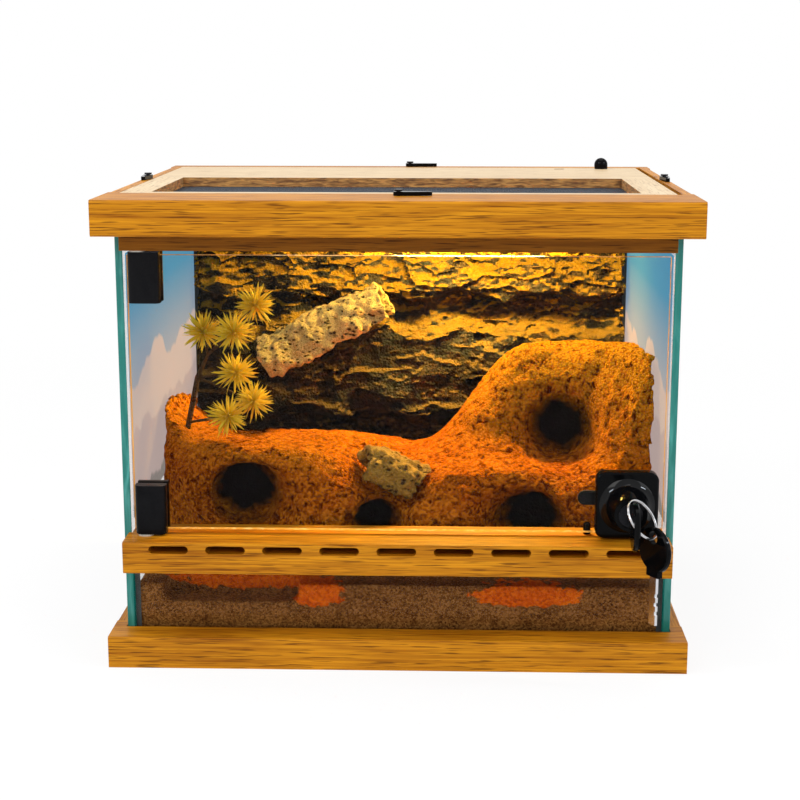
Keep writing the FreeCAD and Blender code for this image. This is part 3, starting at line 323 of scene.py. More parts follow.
class Recipe:
    """Node tree that is being laid out, for a material or for a shared effect."""

    def __init__(self, tree: bpy.types.NodeTree) -> None:
        """Start with an empty tree."""
        self.tree = tree
        tree.nodes.clear()

    def add(self, kind: str, feeds: dict[str | int, object], **settings: object) -> bpy.types.Node:
        """Add a node.

        Args:
            kind: Type of the node.
            feeds: Value or output socket of each input, by the input's name or number.
            settings: Values of the node's properties.

        Returns:
            The node.
        """
        node = self.tree.nodes.new(kind)
        for key, value in settings.items():
            setattr(node, key, value)
        for key, value in feeds.items():
            if isinstance(value, Socket):
                self.tree.links.new(value, node.inputs[key])
            else:
                node.inputs[key].default_value = value
        return node

    def place(self) -> Socket:
        """Object coordinates."""
        return self.add("ShaderNodeTexCoord", {}).outputs["Object"]

    def mapped(self, vector: Socket, scale: Point, turn: Point = (0, 0, 0),
               shift: Point = (0, 0, 0)) -> Socket:
        """Coordinates scaled and turned about each axis, then shifted."""
        feeds = {"Vector": vector, "Scale": scale, "Rotation": turn, "Location": shift}
        return self.add("ShaderNodeMapping", feeds).outputs["Vector"]

    def noise(self, vector: Socket, scale: object, detail: float = 2.0, distortion: float = 0.0) -> Socket:
        """Soft noise from 0 to 1: its spots per metre, its count of finer layers and its warp."""
        feeds = {"Vector": vector, "Scale": scale, "Detail": detail, "Distortion": distortion}
        return self.add("ShaderNodeTexNoise", feeds).outputs["Fac"]

    def cells(self, vector: Socket, scale: object) -> Sockets:
        """Distance and Color of a pattern with so many cells per metre."""
        return self.add("ShaderNodeTexVoronoi", {"Vector": vector, "Scale": scale}).outputs

    def sum(self, operation: str, first: object, second: object = 0.0) -> Socket:
        """Number worked out from two others by a named sum."""
        return self.add("ShaderNodeMath", {0: first, 1: second}, operation=operation).outputs[0]

    def vector(self, operation: str, first: Socket, second: object = (0, 0, 0)) -> Sockets:
        """Vector and Value worked out from two sets of coordinates by a named sum."""
        feeds = {0: first, 1: second}
        return self.add("ShaderNodeVectorMath", feeds, operation=operation).outputs

    def total(self, *parts: tuple[Socket, float]) -> Socket:
        """Add numbers up.

        Args:
            parts: Each number with its weight.

        Returns:
            The weighted total.
        """
        whole = None
        for value, weight in parts:
            part = self.sum("MULTIPLY", value, weight)
            whole = part if whole is None else self.sum("ADD", whole, part)
        return whole

    def spread(self, value: Socket, low: float, high: float, to_low: float = 0.0,
               to_high: float = 1.0) -> Socket:
        """Number stretched from low and high onto to_low and to_high, and clipped there."""
        feeds = {"Value": value, "From Min": low, "From Max": high, "To Min": to_low, "To Max": to_high}
        return self.add("ShaderNodeMapRange", feeds).outputs["Result"]

    def blend(self, share: object, first: object, second: object) -> Socket:
        """Mix two colours.

        Args:
            share: Share of the second colour, as a number or a socket.
            first: Colour or socket.
            second: Colour or socket.

        Returns:
            The mixed colour.
        """
        feeds = {0: share}
        for key, colour in ((6, first), (7, second)):
            feeds[key] = colour if isinstance(colour, Socket) else (*colour, 1.0)
        return self.add("ShaderNodeMix", feeds, data_type="RGBA").outputs[2]

    def split(self, vector: Socket) -> tuple[Socket, Socket, Socket]:
        """The three parts of coordinates."""
        parts = self.add("ShaderNodeSeparateXYZ", {"Vector": vector}).outputs
        return parts[0], parts[1], parts[2]

    def facing(self, kind: str) -> Socket:
        """Upward part of the surface's normal of a named kind."""
        return self.split(self.add("ShaderNodeNewGeometry", {}).outputs[kind])[2]

    def bump(self, height: Socket, strength: float, depth: float) -> Socket:
        """Normal bumped by a height from 0 to 1, with its full depth in metres."""
        feeds = {"Height": height, "Strength": strength, "Distance": depth}
        return self.add("ShaderNodeBump", feeds).outputs["Normal"]

    def seen(self) -> Socket:
        """Tell the rays that show the background from those that light the object.

        Returns:
            1 or more for rays from the camera, off gloss and through glass, and 0 for others.
        """
        path = self.add("ShaderNodeLightPath", {}).outputs
        straight = self.sum("ADD", path["Is Camera Ray"], path["Is Glossy Ray"])
        return self.sum("ADD", straight, path["Is Transmission Ray"])

    def shared(self, effect: "Effect", feeds: dict[str, object]) -> Sockets:
        """Place a shared effect.

        Args:
            effect: The effect.
            feeds: Values or sockets of its inputs, a colour as three numbers.

        Returns:
            The outputs of the placed group.
        """
        filled = {}
        for key, value in feeds.items():
            filled[key] = (*value, 1.0) if isinstance(value, tuple) else value
        return self.add("ShaderNodeGroup", filled, node_tree=effect.tree()).outputs

    def principled(self, feeds: dict[str, object]) -> None:
        """Send a Principled shader with these inputs to the material's surface."""
        self.surface(self.add("ShaderNodeBsdfPrincipled", feeds).outputs[0])

    def mixed(self, share: Socket, first: bpy.types.Node, second: bpy.types.Node) -> None:
        """Send two shaders, mixed by the second one's share, to the material's surface."""
        feeds = {0: share, 1: first.outputs[0], 2: second.outputs[0]}
        self.surface(self.add("ShaderNodeMixShader", feeds).outputs[0])

    def surface(self, shader: Socket) -> None:
        """Send a shader to the material's surface."""
        self.add("ShaderNodeOutputMaterial", {"Surface": shader})


@dataclass(frozen=True)
class Effect:
    """Shared shader effect with named inputs and outputs."""

    name: str
    inputs: tuple[tuple[str, Kind], ...]
    outputs: tuple[tuple[str, Kind], ...]

    def tree(self) -> bpy.types.NodeTree:
        """Build the group on first use.

        Returns:
            The group's node tree.
        """
        found = bpy.data.node_groups.get(self.name)
        if found:
            return found
        group = bpy.data.node_groups.new(self.name, "ShaderNodeTree")
        for label, kind in self.inputs:
            group.interface.new_socket(name=label, in_out="INPUT", socket_type=kind.value)
        for label, kind in self.outputs:
            group.interface.new_socket(name=label, in_out="OUTPUT", socket_type=kind.value)
        recipe = Recipe(group)
        source = group.nodes.new("NodeGroupInput").outputs
        target = group.nodes.new("NodeGroupOutput").inputs
        for label, socket in self.lay_out(recipe, source).items():
            group.links.new(socket, target[label])
        return group

    def lay_out(self, recipe: Recipe, source: Sockets) -> dict[str, Socket]:
        """Lay out the nodes from the group's inputs, and give each output's socket by its name."""
        raise NotImplementedError


class WoodGrain(Effect):
    """Growth bands, fibres and pores along the X axis of the coordinates."""

    def lay_out(self, recipe: Recipe, source: Sockets) -> dict[str, Socket]:
        """Lay out bands, fibres and pores.

        Args:
            recipe: Tree of the group.
            source: Inputs of the group.

        Returns:
            Socket of each output, by its name.
        """
        place = source["Vector"]
        figure = recipe.noise(recipe.mapped(place, (0.07, 1, 1)), 34.0, 3.0, 0.6)
        bands = recipe.sum("PINGPONG", recipe.sum("MULTIPLY", figure, 15.0), 1.0)
        fibres = recipe.noise(recipe.mapped(place, (0.016, 1, 1)), 1300.0, 3.0)
        dashes = recipe.noise(recipe.mapped(place, (0.04, 1, 1)), 1150.0, 1.0)
        pores = recipe.spread(dashes, 0.57, 0.68)
        drift = recipe.noise(place, 9.0, 1.0)
        streaks = recipe.noise(recipe.mapped(place, (0.02, 1, 1)), 640.0, 3.0, 0.3)
        share = recipe.total((bands, 0.18), (fibres, 0.5), (drift, 0.3), (streaks, 0.9))
        tone = recipe.blend(recipe.spread(share, 0.70, 1.22), source["Light"], source["Dark"])
        colour = recipe.blend(recipe.sum("MULTIPLY", pores, 0.75), tone, source["Pore"])
        height = recipe.sum("SUBTRACT", recipe.sum("MULTIPLY", fibres, 0.3), pores)
        return {"Color": colour, "Height": height, "Roughness": recipe.spread(fibres, 0.2, 0.8, 0.34, 0.5)}


class Granules(Effect):
    """Packed grains with clods, in three colours."""

    def lay_out(self, recipe: Recipe, source: Sockets) -> dict[str, Socket]:
        """Lay out grains, clods and dust.

        Args:
            recipe: Tree of the group.
            source: Inputs of the group.

        Returns:
            Socket of each output, by its name.
        """
        grains = recipe.cells(source["Vector"], source["Scale"])
        clods = recipe.noise(source["Vector"], recipe.sum("MULTIPLY", source["Scale"], 0.06), 3.0)
        dust = recipe.noise(source["Vector"], recipe.sum("MULTIPLY", source["Scale"], 1.7), 2.0)
        share = recipe.total((recipe.split(grains["Color"])[0], 0.5), (clods, 0.5))
        lower = recipe.blend(recipe.spread(share, 0.18, 0.5), source["Low"], source["Mid"])
        colour = recipe.blend(recipe.spread(share, 0.5, 0.85), lower, source["High"])
        round_top = recipe.spread(grains["Distance"], 0.0, 0.8, 1.0, 0.0)
        height = recipe.total((round_top, 0.7), (dust, 0.3))
        return {"Color": colour, "Height": height}


class Handling(Effect):
    """Faint smears and dust of a smooth surface that is touched."""

    def lay_out(self, recipe: Recipe, source: Sockets) -> dict[str, Socket]:
        """Lay out smears and specks.

        Args:
            recipe: Tree of the group.
            source: Inputs of the group.

        Returns:
            Socket of each output, by its name.
        """
        smears = recipe.noise(source["Vector"], source["Scale"], 4.0, 0.8)
        fine = recipe.noise(source["Vector"], recipe.sum("MULTIPLY", source["Scale"], 14.0), 2.0)
        share = recipe.total((smears, 0.65), (fine, 0.35))
        return {
            "Color": recipe.blend(recipe.spread(share, 0.3, 0.7), source["Clean"], source["Worn"]),
            "Share": recipe.spread(share, 0.3, 0.7),
            "Height": fine,
        }


WOOD_GRAIN = WoodGrain(
    "wood_grain",
    (("Vector", Kind.VECTOR), ("Light", Kind.COLOUR), ("Dark", Kind.COLOUR), ("Pore", Kind.COLOUR)),
    (("Color", Kind.COLOUR), ("Height", Kind.NUMBER), ("Roughness", Kind.NUMBER)),
)
GRANULES = Granules(
    "granules",
    (("Vector", Kind.VECTOR), ("Scale", Kind.NUMBER), ("Low", Kind.COLOUR), ("Mid", Kind.COLOUR),
     ("High", Kind.COLOUR)),
    (("Color", Kind.COLOUR), ("Height", Kind.NUMBER)),
)
HANDLING = Handling(
    "handling",
    (("Vector", Kind.VECTOR), ("Scale", Kind.NUMBER), ("Clean", Kind.COLOUR), ("Worn", Kind.COLOUR)),
    (("Color", Kind.COLOUR), ("Share", Kind.NUMBER), ("Height", Kind.NUMBER)),
)


def grained(recipe: Recipe, place: Socket, scale: float, tones: Tones) -> Sockets:
    """Color and Height of grains in a low, a middle and a high tone."""
    low, mid, high = tones
    return recipe.shared(GRANULES, {"Vector": place, "Scale": scale, "Low": low, "Mid": mid, "High": high})


def handled(recipe: Recipe, scale: float, clean: Colour, worn: Colour) -> Sockets:
    """Color, Share and Height of a touched surface with so many smears per metre."""
    feeds = {"Vector": recipe.place(), "Scale": scale, "Clean": clean, "Worn": worn}
    return recipe.shared(HANDLING, feeds)


@dataclass(frozen=True)
class Finish:
    """Surface finish that becomes one material."""

    name: str

    def material(self) -> bpy.types.Material:
        """Build the material on first use.

        Returns:
            The material.
        """
        if self.name not in materials:
            made = bpy.data.materials.new(self.name)
            made.use_nodes = True
            self.lay_out(Recipe(made.node_tree))
            materials[self.name] = made
        return materials[self.name]

    def lay_out(self, recipe: Recipe) -> None:
        """Lay out the material's nodes in a recipe."""
        raise NotImplementedError


@dataclass(frozen=True)
class Wood(Finish):
    """Wood with its grain along one axis."""

    grain: Grain
    light: Colour
    dark: Colour
    pore: Colour

    def figure(self, recipe: Recipe) -> tuple[Sockets, Socket]:
        """Place the grain.

        Args:
            recipe: Tree of the material.

        Returns:
            Outputs of the grain, and its bumped normal.
        """
        vector = recipe.mapped(recipe.place(), (1, 1, 1), self.grain.value)
        wood = recipe.shared(WOOD_GRAIN, {"Vector": vector, "Light": self.light, "Dark": self.dark,
                                          "Pore": self.pore})
        return wood, recipe.bump(wood["Height"], 0.25, 0.2 * MM)


@dataclass(frozen=True)
class Oak(Wood):
    """Oiled oak with a satin surface."""

    light: Colour = (0.63, 0.255, 0.008)
    dark: Colour = (0.27, 0.079, 0.002)
    pore: Colour = (0.09, 0.022, 0.001)
    index: float = 1.2

    def lay_out(self, recipe: Recipe) -> None:
        """Lay out the oak's nodes.

        Args:
            recipe: Tree of the material.
        """
        wood, normal = self.figure(recipe)
        recipe.principled({"Base Color": wood["Color"], "Roughness": wood["Roughness"], "IOR": self.index,
                           "Normal": normal})


@dataclass(frozen=True)
class PlyPanel(Wood):
    """Pale veneered board whose cut edges show rough brown layers."""

    light: Colour = (0.72, 0.55, 0.33)
    dark: Colour = (0.56, 0.38, 0.19)
    pore: Colour = (0.30, 0.17, 0.07)
    edges: tuple[Colour, Colour] = ((0.55, 0.27, 0.07), (0.13, 0.05, 0.012))

    def lay_out(self, recipe: Recipe) -> None:
        """Lay out veneer and cut edges.

        Args:
            recipe: Tree of the material.
        """
        wood, normal = self.figure(recipe)
        layers = recipe.noise(recipe.mapped(recipe.place(), (0.15, 0.15, 1)), 700.0, 4.0, 0.6)
        raw = recipe.blend(recipe.spread(layers, 0.35, 0.65), *self.edges)
        flat = recipe.spread(recipe.sum("ABSOLUTE", recipe.facing("True Normal")), 0.4, 0.6)
        recipe.principled({
            "Base Color": recipe.blend(flat, raw, wood["Color"]),
            "Roughness": recipe.spread(flat, 0.0, 1.0, 0.75, 0.45),
            "Normal": normal})


@dataclass(frozen=True)
class Earth(Finish):
    """Packed grains with crevices darkened by painted shade, painted lamp light on the heights and painted
    shade deep in the burrows.
    """

    tones: Tones
    scale: float
    relief: float
    # The next colour is painted lamp light on the heights, and the one after it is painted shade deep in the
    # burrows.
    lit_top: Colour
    darkening: Colour
    burrows: tuple[Burrow, ...]

    def depth(self, recipe: Recipe, place: Socket, burrow: Burrow) -> Socket:
        """Share of the painted shade inside one burrow.

        Args:
            recipe: Tree of the material.
            place: Coordinates.
            burrow: Middle of the mouth, way inwards and radius.

        Returns:
            The share, from 0 outside to 1 deep inside.
        """
        mouth, way, radius = burrow
        away = recipe.vector("SUBTRACT", place, mouth)["Vector"]
        inward = recipe.vector("DOT_PRODUCT", away, way)["Value"]
        off = recipe.vector("LENGTH", recipe.vector("CROSS_PRODUCT", away, way)["Vector"])["Value"]
        ragged = recipe.total((off, 1.0), (recipe.noise(place, 90.0, 3.0), 0.7 * radius))
        inside = recipe.spread(ragged, 1.1 * radius, 1.6 * radius, 1.0, 0.0)
        return recipe.sum("MULTIPLY", inside, recipe.spread(inward, 13 * MM, 40 * MM))

    def lay_out(self, recipe: Recipe) -> None:
        """Lay out grains, crevices and burrows, with their painted light and shade.

        Args:
            recipe: Tree of the material.
        """
        place = recipe.place()
        earth = grained(recipe, place, self.scale, self.tones)
        crevices = recipe.spread(recipe.noise(place, 190.0, 5.0, 0.6), 0.34, 0.47)
        # Share that grows with height towards the tank lamp above: painted light.
        nearer_lamp = recipe.spread(recipe.split(place)[2], 0.120, 0.205, 0.0, 0.85)
        lit_share = recipe.sum("MULTIPLY", nearer_lamp, recipe.spread(earth["Height"], 0.15, 0.6))
        # Crevices take the low tone, painted shade in the bumped cracks; grain tops up high take the lit
        # colour, painted lamp light.
        colour = recipe.blend(crevices, self.tones[0], recipe.blend(lit_share, earth["Color"], self.lit_top))
        # Each burrow darkens inwards with painted shade.
        for burrow in self.burrows:
            colour = recipe.blend(self.depth(recipe, place, burrow), colour, self.darkening)
        height = recipe.sum("ADD", earth["Height"], crevices)
        recipe.principled({
            "Base Color": colour, "Roughness": recipe.spread(earth["Height"], 0.0, 1.0, 0.95, 0.8),
            "Specular IOR Level": 0.0, "Normal": recipe.bump(height, 0.8, self.relief)})


@dataclass(frozen=True)
class Soil(Finish):
    """Brown soil with patches of orange clay against the front glass."""

    ground: Tones
    clay: Tones
    patches: tuple[tuple[Point, Point], ...]

    def lay_out(self, recipe: Recipe) -> None:
        """Lay out soil and clay patches.

        Args:
            recipe: Tree of the material.
        """
        place = recipe.place()
        soil = grained(recipe, place, 900.0, self.ground)
        clay = grained(recipe, place, 700.0, self.clay)
        rough_edge = recipe.noise(place, 160.0, 3.0)
        mask = None
        for centre, reach in self.patches:
            scale = tuple(1 / size for size in reach)
            shift = tuple(-middle / size for middle, size in zip(centre, reach))
            far = recipe.vector("LENGTH", recipe.mapped(place, scale, shift=shift))["Value"]
            ragged = recipe.total((far, 1.0), (rough_edge, 0.9))
            near = recipe.spread(ragged, 1.32, 1.40, 1.0, 0.0)
            mask = near if mask is None else recipe.sum("MAXIMUM", mask, near)
        height = recipe.sum("ADD", soil["Height"], mask)
        recipe.principled({
            "Base Color": recipe.blend(mask, soil["Color"], clay["Color"]),
            "Roughness": recipe.spread(soil["Height"], 0.0, 1.0, 0.95, 0.8),
            "Specular IOR Level": 0.03, "Normal": recipe.bump(height, 0.8, 1.2 * MM)})


@dataclass(frozen=True)
class Rock(Finish):
    """Dark layered rock with grit on it, and dust with painted lamp light on its high ledges."""

    tones: Tones = ((0.006, 0.005, 0.004), (0.030, 0.020, 0.010), (0.085, 0.050, 0.018))
    wet: Colour = (0.016, 0.020, 0.022)
    # Dust colour, which also stands for painted lamp light on the high ledges.
    dust: Colour = (0.50, 0.27, 0.012)

    def lay_out(self, recipe: Recipe) -> None:
        """Lay out layers, grit, wet patches and the dusty ledges with painted light.

        Args:
            recipe: Tree of the material.
        """
        place = recipe.place()
        grit = grained(recipe, place, 420.0, self.tones)
        layers = recipe.noise(recipe.mapped(place, (0.3, 0.3, 1)), 110.0, 6.0, 0.9)
        darkening = recipe.spread(recipe.noise(recipe.mapped(place, (0.6, 0.6, 1)), 22.0, 3.0), 0.45, 0.62)
        tone = recipe.blend(recipe.spread(layers, 0.32, 0.52), self.tones[0], grit["Color"])
        bare = recipe.blend(recipe.sum("MULTIPLY", darkening, 0.55), tone, self.wet)
        # Upward ledges high up take the dust colour: part dust, part painted lamp light.
        dusty_lit_ledges = recipe.spread(recipe.sum("ADD", recipe.facing("Normal"), layers), 0.82, 1.18)
        nearer_lamp = recipe.spread(recipe.split(place)[2], 0.165, 0.235, 0.12, 1.0)
        height = recipe.total((grit["Height"], 1.0), (layers, 2.5))
        recipe.principled({
            "Base Color": recipe.blend(recipe.sum("MULTIPLY", dusty_lit_ledges, nearer_lamp), bare, self.dust),
            "Roughness": recipe.spread(darkening, 0.0, 1.0, 0.95, 0.6),
            "Specular IOR Level": 0.08, "Normal": recipe.bump(height, 1.0, 2.2 * MM)})


@dataclass(frozen=True)
class Cork(Finish):
    """Cork bark with dark pits and cracks."""

    pale: Colour
    shade: Colour
    hollow: Colour = (0.05, 0.022, 0.006)

    def lay_out(self, recipe: Recipe) -> None:
        """Lay out pits and cracks.

        Args:
            recipe: Tree of the material.
        """
        place = recipe.place()
        pits = recipe.cells(recipe.mapped(place, (0.6, 1, 1)), 330.0)["Distance"]
        cracks = recipe.noise(recipe.mapped(place, (0.4, 1, 1)), 120.0, 7.0, 1.8)
        bare = recipe.noise(place, 45.0, 2.0)
        holes = recipe.spread(recipe.total((pits, 1.0), (cracks, 1.3), (bare, 0.5)), 0.98, 1.30)
        grain = recipe.noise(place, 900.0, 2.0)
        tone = recipe.blend(recipe.spread(grain, 0.3, 0.7), self.pale, self.shade)
        recipe.principled({
            "Base Color": recipe.blend(holes, self.hollow, tone),
            "Roughness": recipe.spread(holes, 0.0, 1.0, 0.95, 0.8),
            "Specular IOR Level": 0.2,
            "Normal": recipe.bump(recipe.total((holes, 1.0), (grain, 0.3)), 1.0, 2.4 * MM)})


@dataclass(frozen=True)
class Smooth(Finish):
    """Moulded plastic, lacquer or metal with faint signs of handling."""

    clean: Colour
    worn: Colour
    sleek: float
    dull: float
    metal: float = 0.0
    gloss: float = 0.5
    relief: float = 0.05
    scale: float = 60.0
    coat: float = 0.0

    def lay_out(self, recipe: Recipe) -> None:
        """Lay out the handled surface.

        Args:
            recipe: Tree of the material.
        """
        touch = handled(recipe, self.scale, self.clean, self.worn)
        recipe.principled({
            "Base Color": touch["Color"], "Metallic": self.metal, "Specular IOR Level": self.gloss,
            "Coat Weight": self.coat, "Coat Roughness": 0.04,
            "Roughness": recipe.spread(touch["Share"], 0.0, 1.0, self.sleek, self.dull),
            "Normal": recipe.bump(touch["Height"], self.relief, 0.1 * MM)})


@dataclass(frozen=True)
class Pane(Finish):
    """Clear float glass that lets the light through to what it encloses."""

    clean: Colour = (0.985, 0.995, 0.99)
    worn: Colour = (0.955, 0.975, 0.968)
    # Light let through for shadow and diffuse rays, kept under clear glass's so the inside is dimmed: painted
    # shade.
    through: Colour = (0.74, 0.76, 0.75)
    scale: float = 14.0
    index: float = 1.11

    def lay_out(self, recipe: Recipe) -> None:
        """Lay out the glass and its way for shadow and diffuse rays.

        Args:
            recipe: Tree of the material.
        """
        touch = handled(recipe, self.scale, self.clean, self.worn)
        glass = recipe.add("ShaderNodeBsdfPrincipled", {
            "Base Color": touch["Color"], "Roughness": 0.0, "IOR": self.index, "Transmission Weight": 1.0})
        clear = recipe.add("ShaderNodeBsdfTransparent", {"Color": (*self.through, 1.0)})
        path = recipe.add("ShaderNodeLightPath", {})
        passing = recipe.sum("MAXIMUM", path.outputs["Is Shadow Ray"], path.outputs["Is Diffuse Ray"])
        recipe.mixed(passing, glass, clear)


@dataclass(frozen=True)
class GroundEdge(Finish):
    """Polished edge of a pane in the glass's own tint with painted glints; on the door it takes a painted
    glow.
    """

    deep: Colour
    bright: Colour
    # Strength of a painted glow of lamp light.
    glow: float = 0.0

    def lay_out(self, recipe: Recipe) -> None:
        """Lay out the streaks of the edge and its painted glints.

        Args:
            recipe: Tree of the material.
        """
        place = recipe.place()
        streaks = recipe.noise(recipe.mapped(place, (1, 1, 0.12)), 240.0, 3.0, 0.5)
        # Painted glints brighten the streaks in places.
        painted_glints = recipe.noise(recipe.mapped(place, (1, 1, 0.3)), 34.0, 2.0)
        share = recipe.sum("MULTIPLY", recipe.spread(streaks, 0.45, 0.75), recipe.spread(painted_glints, 0.3, 0.7))
        colour = recipe.blend(share, self.deep, self.bright)
        recipe.principled({
            "Base Color": colour, "Roughness": recipe.spread(streaks, 0.2, 0.8, 0.08, 0.2),
            "Emission Color": colour, "Emission Strength": self.glow,
            "Normal": recipe.bump(streaks, 0.06, 0.1 * MM)})


@dataclass(frozen=True)
class HillFilm(Finish):
    """Printed film with a pale sky over rows of hazy rolling hills, glowing with painted daylight."""

    rows: tuple[tuple[float, float, Colour], ...]
    horizon: Colour = (0.80, 0.66, 0.62)
    zenith: Colour = (0.13, 0.44, 0.72)
    soft: float = 1.5 * MM
    # Strength of the painted daylight glow, and how far the print's own lit colour is dimmed under it.
    painted_daylight: float = 0.55
    dimming: float = 0.92

    def lay_out(self, recipe: Recipe) -> None:
        """Lay out the sky and the rows of hills.

        Args:
            recipe: Tree of the material.
        """
        place = recipe.place()
        height = recipe.split(place)[2]
        colour = recipe.blend(recipe.spread(height, 0.16, 0.25), self.horizon, self.zenith)
        for index, (level, swing, tone) in enumerate(self.rows):
            shifted = recipe.mapped(place, (0, 1, 0), shift=(0.37 * index, 0, 0))
            line = recipe.sum("MULTIPLY", recipe.noise(shifted, 11.0 + 4.0 * index, 3.0), swing)
            above = recipe.sum("SUBTRACT", recipe.sum("SUBTRACT", height, level), line)
            colour = recipe.blend(recipe.spread(above, -self.soft, self.soft, 1.0, 0.0), colour, tone)
        grain = recipe.noise(place, 900.0, 2.0)
        recipe.principled({
            "Base Color": recipe.blend(self.dimming, colour, (0, 0, 0)),
            "Roughness": recipe.spread(grain, 0.2, 0.8, 0.6, 0.8),
            "Specular IOR Level": 0.0, "Emission Color": colour, "Emission Strength": self.painted_daylight})


@dataclass(frozen=True)
class OpalLens(Finish):
    """Lit opal cover of the lamp."""

    strength: float
    dim: Colour = (1.0, 0.62, 0.24)
    bright: Colour = (1.0, 0.78, 0.42)
    ripple: float = 420.0

    def lay_out(self, recipe: Recipe) -> None:
        """Lay out the lit cover.

        Args:
            recipe: Tree of the material.
        """
        along = recipe.split(recipe.place())[0]
        wave = recipe.sum("SINE", recipe.sum("MULTIPLY", along, self.ripple))
        colour = recipe.blend(recipe.spread(wave, -1.0, 1.0), self.dim, self.bright)
        recipe.principled({
            "Base Color": colour, "Roughness": 0.4, "Emission Color": colour,
            "Emission Strength": self.strength})


@dataclass(frozen=True)
class InsectMesh(Finish):
    """Fine mesh with round threads, and painted shade in the gaps between them."""

    pitch: float
    # Colour of the painted shade in the gaps.
    shade_in_gaps: Colour = (0.02, 0.010, 0.004)
    thread: Colour = (0.14, 0.085, 0.035)

    def lay_out(self, recipe: Recipe) -> None:
        """Lay out crossing threads.

        Args:
            recipe: Tree of the material.
        """
        across, _, height = recipe.split(recipe.place())
        waves = []
        for part in (across, height):
            turn = recipe.sum("MULTIPLY", part, math.tau / self.pitch)
            waves.append(recipe.spread(recipe.sum("SINE", turn), 0.2, 0.9))
        threads = recipe.sum("MAXIMUM", waves[0], waves[1])
        recipe.principled({
            "Base Color": recipe.blend(threads, self.shade_in_gaps, self.thread),
            "Roughness": recipe.spread(threads, 0.0, 1.0, 0.9, 0.45),
            "Normal": recipe.bump(threads, 0.8, 0.3 * MM)})


@dataclass(frozen=True)
class Leaf(Finish):
    """Waxy narrow leaf, paler to its tip."""

    foot: Colour
    tip: Colour

    def lay_out(self, recipe: Recipe) -> None:
        """Lay out the leaf from foot to tip.

        Args:
            recipe: Tree of the material.
        """
        along = recipe.add("ShaderNodeAttribute", {}, attribute_name="along").outputs["Fac"]
        mottle = recipe.noise(recipe.place(), 500.0, 2.0)
        tone = recipe.blend(along, self.foot, self.tip)
        colour = recipe.blend(recipe.sum("MULTIPLY", mottle, 0.35), tone, self.foot)
        recipe.principled({
            "Base Color": colour, "Roughness": recipe.spread(mottle, 0.2, 0.8, 0.35, 0.6),
            "Specular IOR Level": 0.15, "Normal": recipe.bump(mottle, 0.2, 0.2 * MM)})


OAK_X = Oak("oak_along_x", Grain.ALONG_X)
OAK_Y = Oak("oak_along_y", Grain.ALONG_Y)
# Header oak, darkened with painted shade from the lid's overhang.
SHADED_OAK = Oak("shaded_oak", Grain.ALONG_X, (0.25, 0.090, 0.008), (0.13, 0.042, 0.004), (0.03, 0.01, 0.002),
               1.15)
VENEER_X = PlyPanel("veneer_along_x", Grain.ALONG_X)
VENEER_Y = PlyPanel("veneer_along_y", Grain.ALONG_Y)
BASE_BOARD = PlyPanel("plywood_base", Grain.ALONG_X, (0.5, 0.33, 0.16), (0.36, 0.21, 0.09),
                      (0.16, 0.08, 0.03))
PANE = Pane("clear_pane")
# The lower front pane lets more light through, so the soil behind it is lit brighter: painted light.
LOW_PANE = Pane("low_pane", through=(0.96, 0.97, 0.97))
TEAL_EDGE = GroundEdge("teal_edge", (0.0, 0.155, 0.13), (0.10, 0.46, 0.42))
# Door edge that glows with painted light, as though the tank lamp's light runs through the glass.
LAMP_GLOW_EDGE = GroundEdge("lamp_glow_edge", (0.65, 0.30, 0.05), (1.0, 0.80, 0.42), 0.35)
SEALANT = Smooth("dim_sealant", (0.10, 0.11, 0.11), (0.07, 0.075, 0.075), 0.3, 0.5, gloss=0.2)
FILM = HillFilm("hill_film", (
    (0.150, 0.090, (0.92, 0.72, 0.64)),
    (0.110, 0.080, (0.78, 0.60, 0.56)),
    (0.075, 0.070, (0.42, 0.36, 0.33)),
))
WIRE = Smooth("lacquered_wire", (0.055, 0.065, 0.085), (0.11, 0.125, 0.15), 0.3, 0.5, 0.6, 0.5, 0.05, 200.0)
VENT_MESH = InsectMesh("insect_mesh", 0.8 * MM)
DEEP_BLACK = (0.001, 0.0012, 0.0015)
RUBBED_BLACK = (0.003, 0.003, 0.0035)
GLOSS_BLACK = Smooth("gloss_black", DEEP_BLACK, RUBBED_BLACK, 0.06, 0.14, gloss=0.03, coat=0.06)
BOSS_BLACK = Smooth("boss_black", DEEP_BLACK, RUBBED_BLACK, 0.06, 0.14, gloss=0.03, coat=0.3)
BLACK_METAL = Smooth("black_lacquer", (0.003, 0.003, 0.004), (0.007, 0.007, 0.008), 0.12, 0.22, gloss=0.06)
BLACK_ZINC = Smooth("black_zinc", (0.006, 0.006, 0.007), (0.012, 0.012, 0.013), 0.3, 0.5, gloss=0.08)
SOFT_BLACK = Smooth("black_rubber", (0.008, 0.008, 0.009), (0.016, 0.016, 0.015), 0.5, 0.75, gloss=0.15,
                    relief=0.2)
NYLON = Smooth("natural_nylon", (0.55, 0.53, 0.48), (0.42, 0.40, 0.35), 0.35, 0.55)
BRIGHT_STEEL = Smooth("polished_steel", (0.72, 0.72, 0.74), (0.55, 0.55, 0.57), 0.12, 0.25, 1.0)
DARK_STEEL = Smooth("blued_steel", (0.028, 0.028, 0.032), (0.014, 0.014, 0.016), 0.2, 0.35, 1.0)
WHITE_PLASTIC = Smooth("moulded_white", (0.72, 0.72, 0.70), (0.60, 0.59, 0.56), 0.35, 0.5)
OPAL = OpalLens("opal_lens", 5.0)
